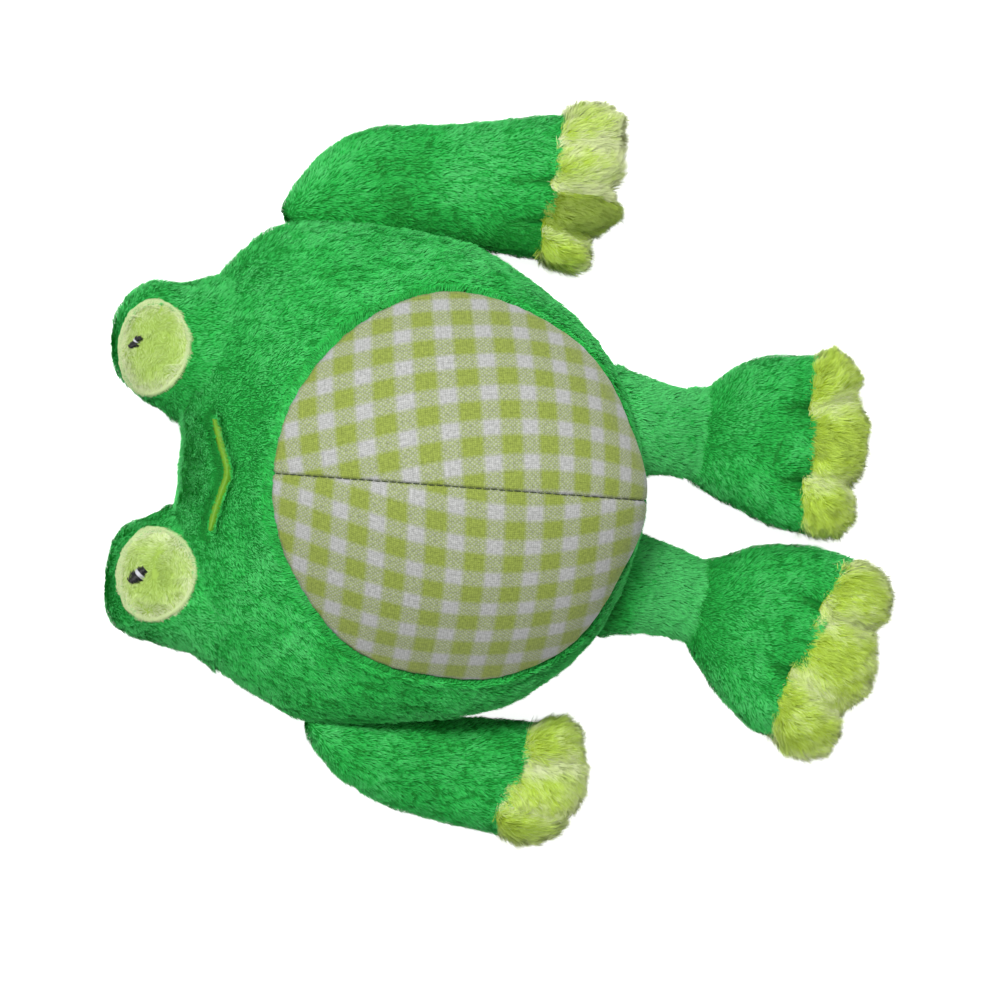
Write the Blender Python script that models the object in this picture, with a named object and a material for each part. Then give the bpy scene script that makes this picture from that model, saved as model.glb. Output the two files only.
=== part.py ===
"""Plush frog that lies on its back.

The frog's own length runs along X, with the head at -X and the feet at +X. Its left side is at +Y, and its
belly points up, along +Z. The origin is the centre of the flat on its back that it rests on. All sizes are
in metres.
"""

import math

import bmesh
import bpy
from mathutils import Vector

# Sewing
COVER_THICKNESS = 0.0015
SEAM_GAP = 0.0003
STUFFING_GAP = 0.0008
ANKLE_GAP = 0.0008
REST_CUT = 0.0005

# Body outline, seen from above
HEAD_TOP = 0.086
BODY_BOTTOM = 0.0595
FLANK_HALF_WIDTH = 0.0785
BODY_LEAN = 0.0012

# Body heights
SIDE_SEAM_HEIGHT = 0.037
SIDE_SEAM_TILT = 0.008
BELLY_TOP = 0.100
BELLY_EDGE_HEIGHT = 0.057
CHIN_HEIGHT = 0.080

# Belly
BELLY_HALF_LENGTH = 0.0575
BELLY_HALF_WIDTH = 0.0625

# Eyes
EYE_LOBE_LENGTH = 0.031
EYE_LOBE_HALF_WIDTH = 0.0200
EYE_LOBE_HALF_DEPTH = 0.0165
EYE_LOBE_HEIGHT = 0.044
EYE_TIP = {"left": 0.1120, "right": 0.1085}
EYE_SIDE = {"left": 0.0390, "right": 0.0365}
EYE_DISC_HALF_LENGTH = 0.0096
EYE_DISC_HALF_WIDTH = 0.0126
EYE_DISC_SETBACK = {"left": 0.0138, "right": 0.0155}
EYE_DISC_INSET = 0.0020
EYE_DISC_THICKNESS = 0.0010
DISC_LIFT = 2 * SEAM_GAP
EYE_BORDER_RADIUS = 0.0012
PUPIL_HALF_LENGTH = 0.0030
PUPIL_HALF_WIDTH = 0.0038
PUPIL_OFFSET = 0.0058
PUPIL_THICKNESS = 0.0008

# Mouth
MOUTH_CORNER = 0.0770
MOUTH_DIP = 0.0045
MOUTH_HALF_WIDTH = 0.0185
MOUTH_STITCH_WIDTH = 0.0032
MOUTH_STITCH_THICKNESS = 0.0010
MOUTH_CENTRE = 0.0012

# Arms
SHOULDER_ANGLE_DEGREES = {"left": 122.5, "right": -113.5}
SHOULDER_HEIGHT = 0.038
WRIST_FORWARD = {"left": 0.0244, "right": 0.0265}
WRIST_SIDE = {"left": 0.0968, "right": 0.0910}
WRIST_HALF_WIDTH = {"left": 0.0232, "right": 0.0183}
WRIST_TURN_DEGREES = {"left": -3.7, "right": -17.6}
ARM_BOW = {"left": 0.0060, "right": 0.0030}
ARM_HALF_DEPTH = 0.0135
HAND_LENGTH = 0.0205
HAND_FLARE = 0.0045
HAND_LOBES = 4

# Legs and feet
HIP_ANGLE_DEGREES = {"left": 24.0, "right": -26.5}
HIP_HALF_WIDTH = 0.0145
ANKLE_FORWARD = {"left": 0.0775, "right": 0.0800}
ANKLE_SIDE = {"left": 0.0225, "right": 0.0305}
ANKLE_HALF_WIDTH = 0.0145
HINGE_HALF_DEPTH = 0.0030
LEG_HALF_DEPTH = 0.0105
FOOT_TURN_DEGREES = {"left": -2.0, "right": -19.0}
FOOT_LENGTH = {"left": 0.0335, "right": 0.0370}
FOOT_HALF_WIDTH = {"left": 0.0295, "right": 0.0315}
FOOT_HALF_DEPTH = 0.0135
TOE_LENGTH = 0.0215
TOE_FLARE = 0.0012
TOE_LOBES = 3

# How finely the covers are divided
BODY_SPOKES = 40
BELLY_RINGS = 6
FRONT_RINGS = 5
BACK_RINGS = 8
LIMB_SIDES = 16
TOE_SIDES = 28
OUTLINE_SAMPLES = 24
EYE_SPOKES = 20
EYE_DISC_RINGS = 3
BORDER_SIDES = 6
MOUTH_STEPS = 12
SLOPE_STEP = 0.01

# Half of the outline from the top of the head to the bottom, as shares of HEAD_TOP or BODY_BOTTOM and of
# FLANK_HALF_WIDTH
OUTLINE_SHARES = (
    (-1.000, 0.00),
    (-0.995, 0.36),
    (-0.965, 0.62),
    (-0.890, 0.785),
    (-0.750, 0.89),
    (-0.600, 0.975),
    (-0.450, 1.01),
    (-0.230, 1.00),
    (0.000, 0.96),
    (0.330, 0.87),
    (0.600, 0.71),
    (0.830, 0.50),
    (0.955, 0.27),
    (1.000, 0.00),
)
# The limbs as (how far along, half width, half depth, height) in shares
ARM_SHARES = (
    (0.10, 0.50, 0.74, 0.84),
    (0.22, 0.64, 0.86, 0.63),
    (0.38, 0.75, 0.94, 0.38),
    (0.56, 0.82, 0.97, 0.16),
    (0.74, 0.90, 1.00, 0.03),
    (0.88, 0.97, 1.00, 0.00),
    (1.00, 1.00, 1.00, 0.00),
)
SHOULDER_ROUND_SHARES = ((-0.90, 0.44, 0.66), (-0.55, 0.84, 0.92), (0.00, 1.00, 1.00))
SHOULDER_WIDTH_SHARE = 0.36
SHOULDER_DEPTH_SHARE = 0.62
ARM_BOW_REACH = 1.4
LEG_SHARES = (
    (0.20, 1.03, 0.66, 0.86),
    (0.38, 1.04, 0.98, 0.60),
    (0.57, 1.02, 1.00, 0.32),
    (0.74, 1.00, 0.72, 0.12),
)
HINGE_ROUND_SHARES = ((0.92, 0.40), (0.65, 0.76))
HINGE_MOUTH_SHARE = 0.92
FOOT_SHARES = (
    (0.18, 0.61, 0.62),
    (0.32, 0.76, 0.87),
    (0.50, 0.88, 0.98),
    (0.72, 0.96, 1.00),
    (0.88, 0.985, 0.98),
    (1.00, 1.00, 0.95),
)
TUFT_SHARES = (
    (0.00, 0.98, 0.94),
    (0.28, 1.00, 1.00),
    (0.58, 1.01, 0.88),
    (0.82, 0.96, 0.62),
    (0.97, 0.85, 0.26),
)
EYE_LOBE_SHARES = (
    (0.02, 0.26, 0.26),
    (0.10, 0.57, 0.56),
    (0.25, 0.83, 0.82),
    (0.45, 0.97, 0.96),
    (0.65, 1.01, 1.05),
    (1.00, 1.10, 1.18),
)
BELLY_RIDGE_SHARE = 0.12
TOE_VALLEY_SHARE = 0.22
TUFT_VALLEY_SHARE = 0.20
TUFT_NOTCH_SHARE = 0.20
TUFT_TIP_SHARE = 0.90
LOBE_EDGE_SHARE = 0.6
LOBE_TOP_SHARE = 0.999
SEAM_FOLD_SHARE = 0.5
MOUTH_CURVE_POWER = 1.5
STUFFED_POWER = 2.3
BACK_POWER = 2.2
CHIN_POWER = 3
FRONT_START = math.radians(38)
BULGE_LEAST = math.radians(48)
BULGE_MORE = math.radians(54)

PLUSH_GREEN = (0.02, 0.36, 0.08, 1.0)
PLUSH_LIME = (0.52, 0.66, 0.16, 1.0)
COTTON_LIME = (0.60, 0.68, 0.33, 1.0)
STITCH_LIME = (0.38, 0.62, 0.10, 1.0)
STITCH_BLACK = (0.02, 0.02, 0.02, 1.0)
FIBRE_WHITE = (0.85, 0.85, 0.83, 1.0)
PLUSH_ROUGHNESS = 0.92
COTTON_ROUGHNESS = 0.85
STITCH_ROUGHNESS = 0.55
FIBRE_ROUGHNESS = 1.0

SIDES = {"left": 1.0, "right": -1.0}


def empty_scene():
    for obj in list(bpy.data.objects):
        bpy.data.objects.remove(obj, do_unlink=True)


def material(name, colour, roughness):
    made = bpy.data.materials.get(name)
    if made is None:
        made = bpy.data.materials.new(name)
        made.use_nodes = True
        shader = made.node_tree.nodes["Principled BSDF"]
        shader.inputs["Base Color"].default_value = colour
        shader.inputs["Roughness"].default_value = roughness
        shader.inputs["Metallic"].default_value = 0.0
    return made


def green_plush():
    return material("green_plush", PLUSH_GREEN, PLUSH_ROUGHNESS)


def lime_plush():
    return material("lime_plush", PLUSH_LIME, PLUSH_ROUGHNESS)


def lime_stitch():
    return material("lime_stitch", STITCH_LIME, STITCH_ROUGHNESS)


def stuffing_fibre():
    return material("stuffing", FIBRE_WHITE, FIBRE_ROUGHNESS)


def add_node(name, points, faces, finish, pivot=None):
    """One closed body as an object whose origin is its joint's pivot."""
    origin = Vector(pivot) if pivot else Vector((0, 0, 0))
    mesh = bpy.data.meshes.new(name)
    mesh.from_pydata([tuple(Vector(p) - origin) for p in points], [], faces)
    build = bmesh.new()
    build.from_mesh(mesh)
    bmesh.ops.recalc_face_normals(build, faces=build.faces)
    if build.calc_volume(signed=True) < 0:
        bmesh.ops.reverse_faces(build, faces=build.faces)
    build.to_mesh(mesh)
    build.free()
    mesh.shade_smooth()
    mesh.materials.append(finish)
    obj = bpy.data.objects.new(name, mesh)
    obj.location = origin
    bpy.context.scene.collection.objects.link(obj)
    return obj


def on_rest(point):
    """The flat that the frog rests on: the lowest half millimetre is cut away."""
    return Vector((point.x, point.y, max(point.z, 0)))


# The body's surfaces, as functions of the angle round the belly's centre


def spline_value(before, start, end, after, t):
    """One coordinate of a smooth curve that passes through start and end."""
    bend = 2 * before - 5 * start + 4 * end - after
    twist = 3 * (start - end) - before + after
    return start + ((end - before) * t + bend * t * t + twist * t**3) / 2


def spline(points, samples):
    """A smooth closed half outline through the points."""
    out = []
    last = len(points) - 1
    for i in range(last):
        a = points[max(i - 1, 0)]
        b = points[i]
        c = points[i + 1]
        d = points[min(i + 2, last)]
        for k in range(samples):
            t = k / samples
            out.append(tuple(spline_value(*four, t) for four in zip(a, b, c, d)))
    out.append(points[-1])
    return out


def outline_by_angle():
    """(angle, radius) pairs of the side seam, seen from above, over the whole turn."""
    half = [
        (x * (HEAD_TOP if x < 0 else BODY_BOTTOM), y * FLANK_HALF_WIDTH)
        for x, y in OUTLINE_SHARES
    ]
    smooth = spline(half, OUTLINE_SAMPLES)
    pairs = []
    for side in SIDES.values():
        for x, y in smooth:
            lean = BODY_LEAN * (1 - x / BODY_BOTTOM)
            py = side * y + lean
            pairs.append((math.atan2(py, x), math.hypot(x, py)))
    pairs.sort()
    return pairs


OUTLINE = outline_by_angle()


def outline_radius(angle):
    """Distance from the belly's centre to the side seam in this direction."""
    angle = math.atan2(math.sin(angle), math.cos(angle))
    if angle <= OUTLINE[0][0] or angle >= OUTLINE[-1][0]:
        return OUTLINE[0][1]
    low = 0
    high = len(OUTLINE) - 1
    while high - low > 1:
        middle = (low + high) // 2
        if OUTLINE[middle][0] <= angle:
            low = middle
        else:
            high = middle
    (a, ra), (b, rb) = OUTLINE[low], OUTLINE[high]
    share = (angle - a) / (b - a) if b > a else 0
    return ra + (rb - ra) * share


def headward(angle):
    """1 towards the head, 0 towards the feet."""
    return (1 - math.cos(angle)) / 2


def seam_height(angle):
    return SIDE_SEAM_HEIGHT - SIDE_SEAM_TILT * math.cos(angle)


def belly_radius(angle):
    return 1 / math.hypot(math.cos(angle) / BELLY_HALF_LENGTH, math.sin(angle) / BELLY_HALF_WIDTH)


def belly_edge_height(angle):
    return BELLY_EDGE_HEIGHT + (CHIN_HEIGHT - BELLY_EDGE_HEIGHT) * headward(angle) ** CHIN_POWER


def belly_point(angle, share):
    """The cotton dome: share 0 is its top and 1 its seam. It overhangs the body at the feet."""
    bulge = BULGE_LEAST + BULGE_MORE * (1 - headward(angle)) ** CHIN_POWER
    radius = belly_radius(angle) * math.sin(share * bulge) / math.sin(bulge)
    ridge = BELLY_RIDGE_SHARE * abs(math.sin(angle))
    drop = (1 - ridge) * (1 - math.cos(share * bulge)) / (1 - math.cos(bulge)) + ridge * share
    height = BELLY_TOP - (BELLY_TOP - belly_edge_height(angle)) * drop
    return Vector((radius * math.cos(angle), radius * math.sin(angle), height))


def front_point(angle, share):
    """The green front: share 0 is the belly's seam and 1 the side seam."""
    turn = FRONT_START + (math.pi / 2 - FRONT_START) * share
    inner = belly_radius(angle)
    outward = (math.sin(turn) - math.sin(FRONT_START)) / (1 - math.sin(FRONT_START))
    radius = inner + (outline_radius(angle) - inner) * outward
    low = seam_height(angle)
    height = low + (belly_edge_height(angle) - low) * math.cos(turn) / math.cos(FRONT_START)
    return Vector((radius * math.cos(angle), radius * math.sin(angle), height))


def front_height(x, y):
    """Height of the green front over a point between the belly and the side seam."""
    angle = math.atan2(y, x)
    inner = belly_radius(angle)
    reach = (math.hypot(x, y) - inner) / (outline_radius(angle) - inner)
    sine = math.sin(FRONT_START) + reach * (1 - math.sin(FRONT_START))
    turn = math.asin(min(1, max(math.sin(FRONT_START), sine)))
    low = seam_height(angle)
    return low + (belly_edge_height(angle) - low) * math.cos(turn) / math.cos(FRONT_START)


def back_point(angle, share):
    """The back: share 0 is its middle and 1 the side seam."""
    radius = outline_radius(angle) * math.sin(share * math.pi / 2)
    rise = 1 - (1 - math.sin(share * math.pi / 2) ** BACK_POWER) ** (1 / BACK_POWER)
    height = (seam_height(angle) + REST_CUT) * rise - REST_CUT
    return Vector((radius * math.cos(angle), radius * math.sin(angle), max(height, 0)))


def normal_of(surface, angle, share):
    """Outward normal by small steps over the surface."""
    inside = min(max(share, 3 * SLOPE_STEP), 1)
    around = surface(angle + SLOPE_STEP, inside) - surface(angle - SLOPE_STEP, inside)
    along = surface(angle, min(inside + SLOPE_STEP, 1)) - surface(angle, inside - SLOPE_STEP)
    normal = along.cross(around).normalized()
    middle = Vector((0, 0, seam_height(angle)))
    return normal if normal.dot(surface(angle, inside) - middle) > 0 else -normal


def pulled(point, normal, depth):
    return point - normal * depth


def grid_shell(name, outer, inner, wraps, finish):
    """A closed shell between two grids of points whose rows run round and whose first row may be one pole."""
    points = []
    index = []
    for grid in (outer, inner):
        rows = []
        for row in grid:
            rows.append(list(range(len(points), len(points) + len(row))))
            points.extend(row)
        index.append(rows)
    faces = []
    for layer, rows in enumerate(index):
        for a, b in zip(rows, rows[1:]):
            count = len(b)
            for k in range(count if wraps else count - 1):
                m = (k + 1) % count
                quad = [a[0], b[k], b[m]] if len(a) == 1 else [a[k], b[k], b[m], a[m]]
                faces.append(quad if layer == 0 else quad[::-1])
    out, inn = index
    edges = []
    last = len(out[-1])
    for k in range(last if wraps else last - 1):
        m = (k + 1) % last
        edges.append((out[-1][k], out[-1][m], inn[-1][m], inn[-1][k]))
        if len(out[0]) > 1:
            edges.append((out[0][m], out[0][k], inn[0][k], inn[0][m]))
    if not wraps:
        for column in (0, -1):
            for i in range(len(out) - 1):
                edges.append((out[i][column], out[i + 1][column], inn[i + 1][column], inn[i][column]))
    faces.extend(edges)
    return add_node(name, points, faces, finish)


def half_sheet(side, surface, rings, edge_inset):
    """Outer and inner grids of one half of a sheet that is cut along the frog's middle."""
    sign = SIDES[side]
    count = BODY_SPOKES // 2
    outer = []
    inner = []
    for i in range(rings + 1):
        share = i / rings
        outer_row = []
        inner_row = []
        for k in range(count + 1) if i else (count // 2,):
            angle = sign * math.pi * k / count
            normal = normal_of(surface, angle, share)
            if i == 0:
                normal = Vector((0, 0, normal.z)).normalized()
            point = surface(angle, share)
            if i == rings:
                point += (surface(angle, 1 - SEAM_FOLD_SHARE / rings) - point).normalized() * edge_inset
            on_cut = i == 0 or k in (0, count)
            if on_cut:
                normal = Vector((normal.x, 0, normal.z)).normalized()
                point.y = sign * SEAM_GAP / 2
            inside = pulled(point, normal, COVER_THICKNESS)
            if not on_cut:
                inside.y = sign * max(sign * inside.y, SEAM_GAP / 2)
            outer_row.append(point)
            inner_row.append(inside)
        outer.append(outer_row)
        inner.append(inner_row)
    return outer, inner


def make_front_panel():
    outer = []
    inner = []
    for i in range(FRONT_RINGS + 1):
        share = i / FRONT_RINGS
        outer_row = []
        inner_row = []
        for k in range(BODY_SPOKES):
            angle = math.tau * k / BODY_SPOKES
            point = front_point(angle, share)
            normal = normal_of(front_point, angle, share)
            if i == 0:
                beyond = front_point(angle, SEAM_FOLD_SHARE / FRONT_RINGS)
                point += (beyond - point).normalized() * SEAM_GAP / 2
            if i == FRONT_RINGS:
                point.z += SEAM_GAP / 2
                normal.z = 0
                normal.normalize()
            outer_row.append(point)
            inner_row.append(pulled(point, normal, COVER_THICKNESS))
        outer.append(outer_row)
        inner.append(inner_row)
    return grid_shell("front_panel", outer, inner, True, green_plush())


def make_belly_gore(side):
    outer, inner = half_sheet(side, belly_point, BELLY_RINGS, SEAM_GAP / 2)
    cotton = material("check_cotton", COTTON_LIME, COTTON_ROUGHNESS)
    return grid_shell(f"belly_gore_{side}", outer, inner, False, cotton)


def make_back_panel(side):
    outer, inner = half_sheet(side, back_point, BACK_RINGS, SEAM_GAP / 2)
    return grid_shell(f"back_panel_{side}", outer, inner, False, green_plush())


def closed_rings(rows):
    """Faces over rings of points that start and end in one pole."""
    points = []
    index = []
    for row in rows:
        index.append(list(range(len(points), len(points) + len(row))))
        points.extend(row)
    faces = []
    for a, b in zip(index, index[1:]):
        count = max(len(a), len(b))
        for k in range(count):
            m = (k + 1) % count
            if len(a) == 1:
                faces.append([a[0], b[k], b[m]])
            elif len(b) == 1:
                faces.append([a[k], b[0], a[m]])
            else:
                faces.append([a[k], b[k], b[m], a[m]])
    return points, faces


def body_rows(depth):
    """Rings over the whole body from the belly's top to the back, this deep under its surface."""
    rows = [[pulled(belly_point(0, 0), Vector((0, 0, 1)), depth)]]
    for i in range(1, BELLY_RINGS):
        rows.append([sunk(belly_point, k, i / BELLY_RINGS, depth) for k in range(BODY_SPOKES)])
    edge = []
    for k in range(BODY_SPOKES):
        angle = math.tau * k / BODY_SPOKES
        above = normal_of(belly_point, angle, 1)
        middle = (above + normal_of(front_point, angle, 0)).normalized()
        edge.append(pulled(front_point(angle, 0), middle, depth / middle.dot(above)))
    rows.append(edge)
    for i in range(1, FRONT_RINGS + 1):
        rows.append([sunk(front_point, k, i / FRONT_RINGS, depth) for k in range(BODY_SPOKES)])
    for i in range(BACK_RINGS - 1, 0, -1):
        rows.append([sunk(back_point, k, i / BACK_RINGS, depth) for k in range(BODY_SPOKES)])
    rows.append([pulled(back_point(0, 0), Vector((0, 0, -1)), depth)])
    return rows


def sunk(surface, spoke, share, depth):
    angle = math.tau * spoke / BODY_SPOKES
    return pulled(surface(angle, share), normal_of(surface, angle, share), depth)


def make_body_stuffing():
    points, faces = closed_rings(body_rows(COVER_THICKNESS + STUFFING_GAP))
    return add_node("body_stuffing", points, faces, stuffing_fibre())


# Limbs: rings of points along a line


def ring(centre, side, up, half_width, half_depth, count, shape=None):
    """One closed ring of a stuffed tube. shape(share across) gives (depth share, forward shift)."""
    points = []
    for i in range(count):
        turn = math.tau * (i + 0.5) / count
        across = math.copysign(abs(math.cos(turn)) ** (2 / STUFFED_POWER), math.cos(turn))
        rise = math.copysign(abs(math.sin(turn)) ** (2 / STUFFED_POWER), math.sin(turn))
        thin, shift = shape(across) if shape else (1, Vector((0, 0, 0)))
        points.append(centre + side * across * half_width + up * rise * half_depth * thin + shift)
    return points


def valley(across, lobes):
    """1 in the middle of a valley between two toes or fingers, 0 on a crest."""
    if abs(across) > 1 - LOBE_EDGE_SHARE / lobes:
        return 0
    return math.cos(math.pi * lobes * (across + 1) / 2) ** 2


def tube_shell(name, outer, inner, finish, pivot=None):
    """A sewn tube: closed where its rows start in a pole, open at its other end."""
    points = []
    index = []
    for rows in (outer, inner):
        made = []
        for row in rows:
            made.append(list(range(len(points), len(points) + len(row))))
            points.extend(row)
        index.append(made)
    faces = []
    for layer, rows in enumerate(index):
        for a, b in zip(rows, rows[1:]):
            count = len(b)
            for k in range(count):
                m = (k + 1) % count
                face = [a[0], b[k], b[m]] if len(a) == 1 else [a[k], b[k], b[m], a[m]]
                faces.append(face if layer == 0 else face[::-1])
    count = len(index[0][-1])
    for k in range(count):
        m = (k + 1) % count
        faces.append([index[0][-1][k], index[0][-1][m], index[1][-1][m], index[1][-1][k]])
    return add_node(name, points, faces, finish, pivot)


def turned(degrees):
    """Forward and side directions of a limb turned outward by this much, to +Y when positive."""
    angle = math.radians(degrees)
    forward = Vector((math.cos(angle), math.sin(angle), 0))
    return forward, Vector((-math.sin(angle), math.cos(angle), 0))


UP = Vector((0, 0, 1))


def rest_height(half_depth):
    """Centre height of a tube of this half depth whose lowest half millimetre is cut flat."""
    return half_depth - REST_CUT


def side_seam_spot(angle):
    """A point of the side seam and the direction straight out of the body there."""
    radius = outline_radius(angle)
    spot = Vector((radius * math.cos(angle), radius * math.sin(angle), seam_height(angle)))
    ahead = outline_radius(angle + SLOPE_STEP)
    behind = outline_radius(angle - SLOPE_STEP)
    along = Vector(
        (
            ahead * math.cos(angle + SLOPE_STEP) - behind * math.cos(angle - SLOPE_STEP),
            ahead * math.sin(angle + SLOPE_STEP) - behind * math.sin(angle - SLOPE_STEP),
            0,
        )
    ).normalized()
    return spot, Vector((along.y, -along.x, 0))


def arm_root(side):
    """Half width of the arm's rounded root, which is also its swing radius."""
    return SHOULDER_WIDTH_SHARE * WRIST_HALF_WIDTH[side]


def shoulder(side):
    """The arm's axis: its round root stays a seam gap away from the side seam."""
    spot, outward = side_seam_spot(math.radians(SHOULDER_ANGLE_DEGREES[side]))
    spot += outward * (arm_root(side) + SEAM_GAP)
    spot.z = SHOULDER_HEIGHT
    return spot


def wrist_of(side):
    return Vector((WRIST_FORWARD[side], SIDES[side] * WRIST_SIDE[side], rest_height(ARM_HALF_DEPTH)))


def arm_rows(side, depth, end_back):
    """Rings of the arm from its rounded shoulder to the wrist, this deep under its surface."""
    start = shoulder(side)
    wrist = wrist_of(side)
    half_width = WRIST_HALF_WIDTH[side]
    heading = math.degrees(math.atan2(wrist.y - start.y, wrist.x - start.x))
    final = WRIST_TURN_DEGREES[side]
    forward, across = turned(heading)
    root = arm_root(side)
    rows = [[start - forward * (root - depth)]]
    for back, width, thick in SHOULDER_ROUND_SHARES:
        centre = start + forward * back * (root - depth)
        half_depth = ARM_HALF_DEPTH * SHOULDER_DEPTH_SHARE * thick
        rows.append(ring(centre, across, UP, root * width - depth, half_depth - depth, LIMB_SIDES))
    for share, width, thick, lift in ARM_SHARES:
        forward, across = turned(heading + (final - heading) * share)
        centre = start.lerp(wrist, share)
        centre.y += SIDES[side] * ARM_BOW[side] * math.sin(math.pi * min(1, share * ARM_BOW_REACH))
        half_depth = ARM_HALF_DEPTH * thick
        centre.z = rest_height(half_depth) + (SHOULDER_HEIGHT - wrist.z) * lift
        if share == 1:
            centre -= forward * end_back
        made = ring(centre, across, UP, half_width * width - depth, half_depth - depth, LIMB_SIDES)
        rows.append([Vector((p.x, p.y, max(p.z, depth))) for p in made])
    return rows


def hip_of(side):
    """The leg's axis and the leg's direction there: its rounded edge stays a seam gap off the side seam."""
    spot, outward = side_seam_spot(math.radians(HIP_ANGLE_DEGREES[side]))
    return spot + outward * (HINGE_HALF_DEPTH + SEAM_GAP), outward


def ankle_of(side):
    return Vector((ANKLE_FORWARD[side], SIDES[side] * ANKLE_SIDE[side], rest_height(FOOT_HALF_DEPTH)))


def leg_rows(side, depth):
    """Rings of the leg from its rounded edge at the body to the mouth that the foot's edge turns in."""
    hip, outward = hip_of(side)
    ankle = ankle_of(side)
    hip_turn = math.degrees(math.atan2(outward.y, outward.x))
    foot_turn = FOOT_TURN_DEGREES[side]
    edge = HINGE_HALF_DEPTH - depth
    wide = HIP_HALF_WIDTH - depth
    forward, across = turned(hip_turn)
    rows = [[hip - forward * edge]]
    for back, thick in HINGE_ROUND_SHARES:
        centre = hip - forward * edge * back
        rows.append(ring(centre, across, UP, wide - edge * (1 - thick), edge * thick, LIMB_SIDES))
    rows.append(ring(hip, across, UP, wide, edge, LIMB_SIDES))
    for share, width, thick, lift in LEG_SHARES:
        forward, across = turned(hip_turn + (foot_turn - hip_turn) * share)
        centre = hip.lerp(ankle, share)
        half_depth = LEG_HALF_DEPTH * thick
        centre.z = ankle.z + (hip.z - ankle.z) * lift
        rows.append(ring(centre, across, UP, HIP_HALF_WIDTH * width - depth, half_depth - depth, LIMB_SIDES))
    forward, across = turned(foot_turn)
    half_depth = HINGE_HALF_DEPTH * HINGE_MOUTH_SHARE - depth
    around = HINGE_HALF_DEPTH + ANKLE_GAP
    mouth = ankle - forward * math.sqrt(around**2 - half_depth**2)
    rows.append(ring(mouth, across, UP, ANKLE_HALF_WIDTH - depth, half_depth, LIMB_SIDES))
    return rows


def foot_shape(lobes, valley_share, notch=0, forward=None):
    def shape(across):
        dip = valley(across, lobes)
        shift = forward * (-notch * dip) if forward else Vector((0, 0, 0))
        return 1 - valley_share * dip, shift

    return shape


def foot_rows(side, depth, end_back):
    """Rings of the foot from the pinched ankle to the toes' plush."""
    ankle = ankle_of(side)
    forward, across = turned(FOOT_TURN_DEGREES[side])
    edge = HINGE_HALF_DEPTH - depth
    wide = ANKLE_HALF_WIDTH - depth
    rows = [[ankle - forward * edge]]
    for back, thick in HINGE_ROUND_SHARES:
        centre = ankle - forward * edge * back
        rows.append(ring(centre, across, UP, wide - edge * (1 - thick), edge * thick, TOE_SIDES))
    rows.append(ring(ankle, across, UP, wide, edge, TOE_SIDES))
    for share, width, thick in FOOT_SHARES:
        half_width = FOOT_HALF_WIDTH[side] * width
        half_depth = FOOT_HALF_DEPTH * thick
        centre = ankle + forward * FOOT_LENGTH[side] * share
        centre.z = ankle.z + (rest_height(half_depth) - ankle.z) * min(1, 2 * share)
        if share == 1:
            centre -= forward * end_back
        shape = foot_shape(TOE_LOBES, TOE_VALLEY_SHARE * share**2)
        made = ring(centre, across, UP, half_width - depth, half_depth - depth, TOE_SIDES, shape)
        rows.append([Vector((p.x, p.y, max(p.z, depth))) for p in made])
    return rows


def tuft_rows(start, forward, across, half_width, half_depth, length, flare, lobes):
    """Rings of a lobed end in long plush, closed at both ends."""
    first = start + forward * SEAM_GAP
    rows = [[first.copy()]]
    for share, width, thick in TUFT_SHARES:
        wide = (half_width + flare * math.sin(math.pi * share)) * width
        half = half_depth * thick
        centre = first + forward * length * share
        centre.z = rest_height(half_depth) - (half_depth - half) / 2
        shape = foot_shape(lobes, TUFT_VALLEY_SHARE, length * TUFT_NOTCH_SHARE * share, forward)
        made = ring(centre, across, UP, wide, half, TOE_SIDES, shape)
        rows.append([on_rest(p) for p in made])
    tip = first + forward * length * (1 - TUFT_NOTCH_SHARE / 2)
    tip.z = rest_height(half_depth) * TUFT_TIP_SHARE
    rows.append([tip])
    return rows


def add_stuffing(name, rows, pivot=None):
    """Stuffing whose first ring ends in a pole and whose last ring is closed by one."""
    rows.append([sum(rows[-1], Vector()) / len(rows[-1])])
    points, faces = closed_rings(rows)
    return add_node(name, points, faces, stuffing_fibre(), pivot)


def make_arm(side):
    pivot = shoulder(side)
    outer = arm_rows(side, 0, 0)
    inner = arm_rows(side, COVER_THICKNESS, 0)
    tube_shell(f"arm_cover_{side}", outer, inner, green_plush(), pivot)
    add_stuffing(f"arm_stuffing_{side}", arm_rows(side, COVER_THICKNESS + STUFFING_GAP, SEAM_GAP), pivot)
    forward, across = turned(WRIST_TURN_DEGREES[side])
    rows = tuft_rows(
        wrist_of(side),
        forward,
        across,
        WRIST_HALF_WIDTH[side],
        ARM_HALF_DEPTH,
        HAND_LENGTH,
        HAND_FLARE,
        HAND_LOBES,
    )
    points, faces = closed_rings(rows)
    add_node(f"hand_end_{side}", points, faces, lime_plush(), pivot)


def make_leg(side):
    hip = hip_of(side)[0]
    outer = leg_rows(side, 0)
    inner = leg_rows(side, COVER_THICKNESS)
    tube_shell(f"leg_cover_{side}", outer, inner, green_plush(), hip)
    add_stuffing(f"leg_stuffing_{side}", leg_rows(side, COVER_THICKNESS + STUFFING_GAP), hip)


def make_foot(side):
    ankle = ankle_of(side)
    outer = foot_rows(side, 0, 0)
    inner = foot_rows(side, COVER_THICKNESS, 0)
    tube_shell(f"foot_cover_{side}", outer, inner, green_plush(), ankle)
    add_stuffing(f"foot_stuffing_{side}", foot_rows(side, COVER_THICKNESS + STUFFING_GAP, SEAM_GAP), ankle)
    forward, across = turned(FOOT_TURN_DEGREES[side])
    rows = tuft_rows(
        ankle + forward * FOOT_LENGTH[side],
        forward,
        across,
        FOOT_HALF_WIDTH[side],
        FOOT_HALF_DEPTH,
        TOE_LENGTH,
        TOE_FLARE,
        TOE_LOBES,
    )
    points, faces = closed_rings(rows)
    add_node(f"toe_end_{side}", points, faces, lime_plush(), ankle)


# Eyes


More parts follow.
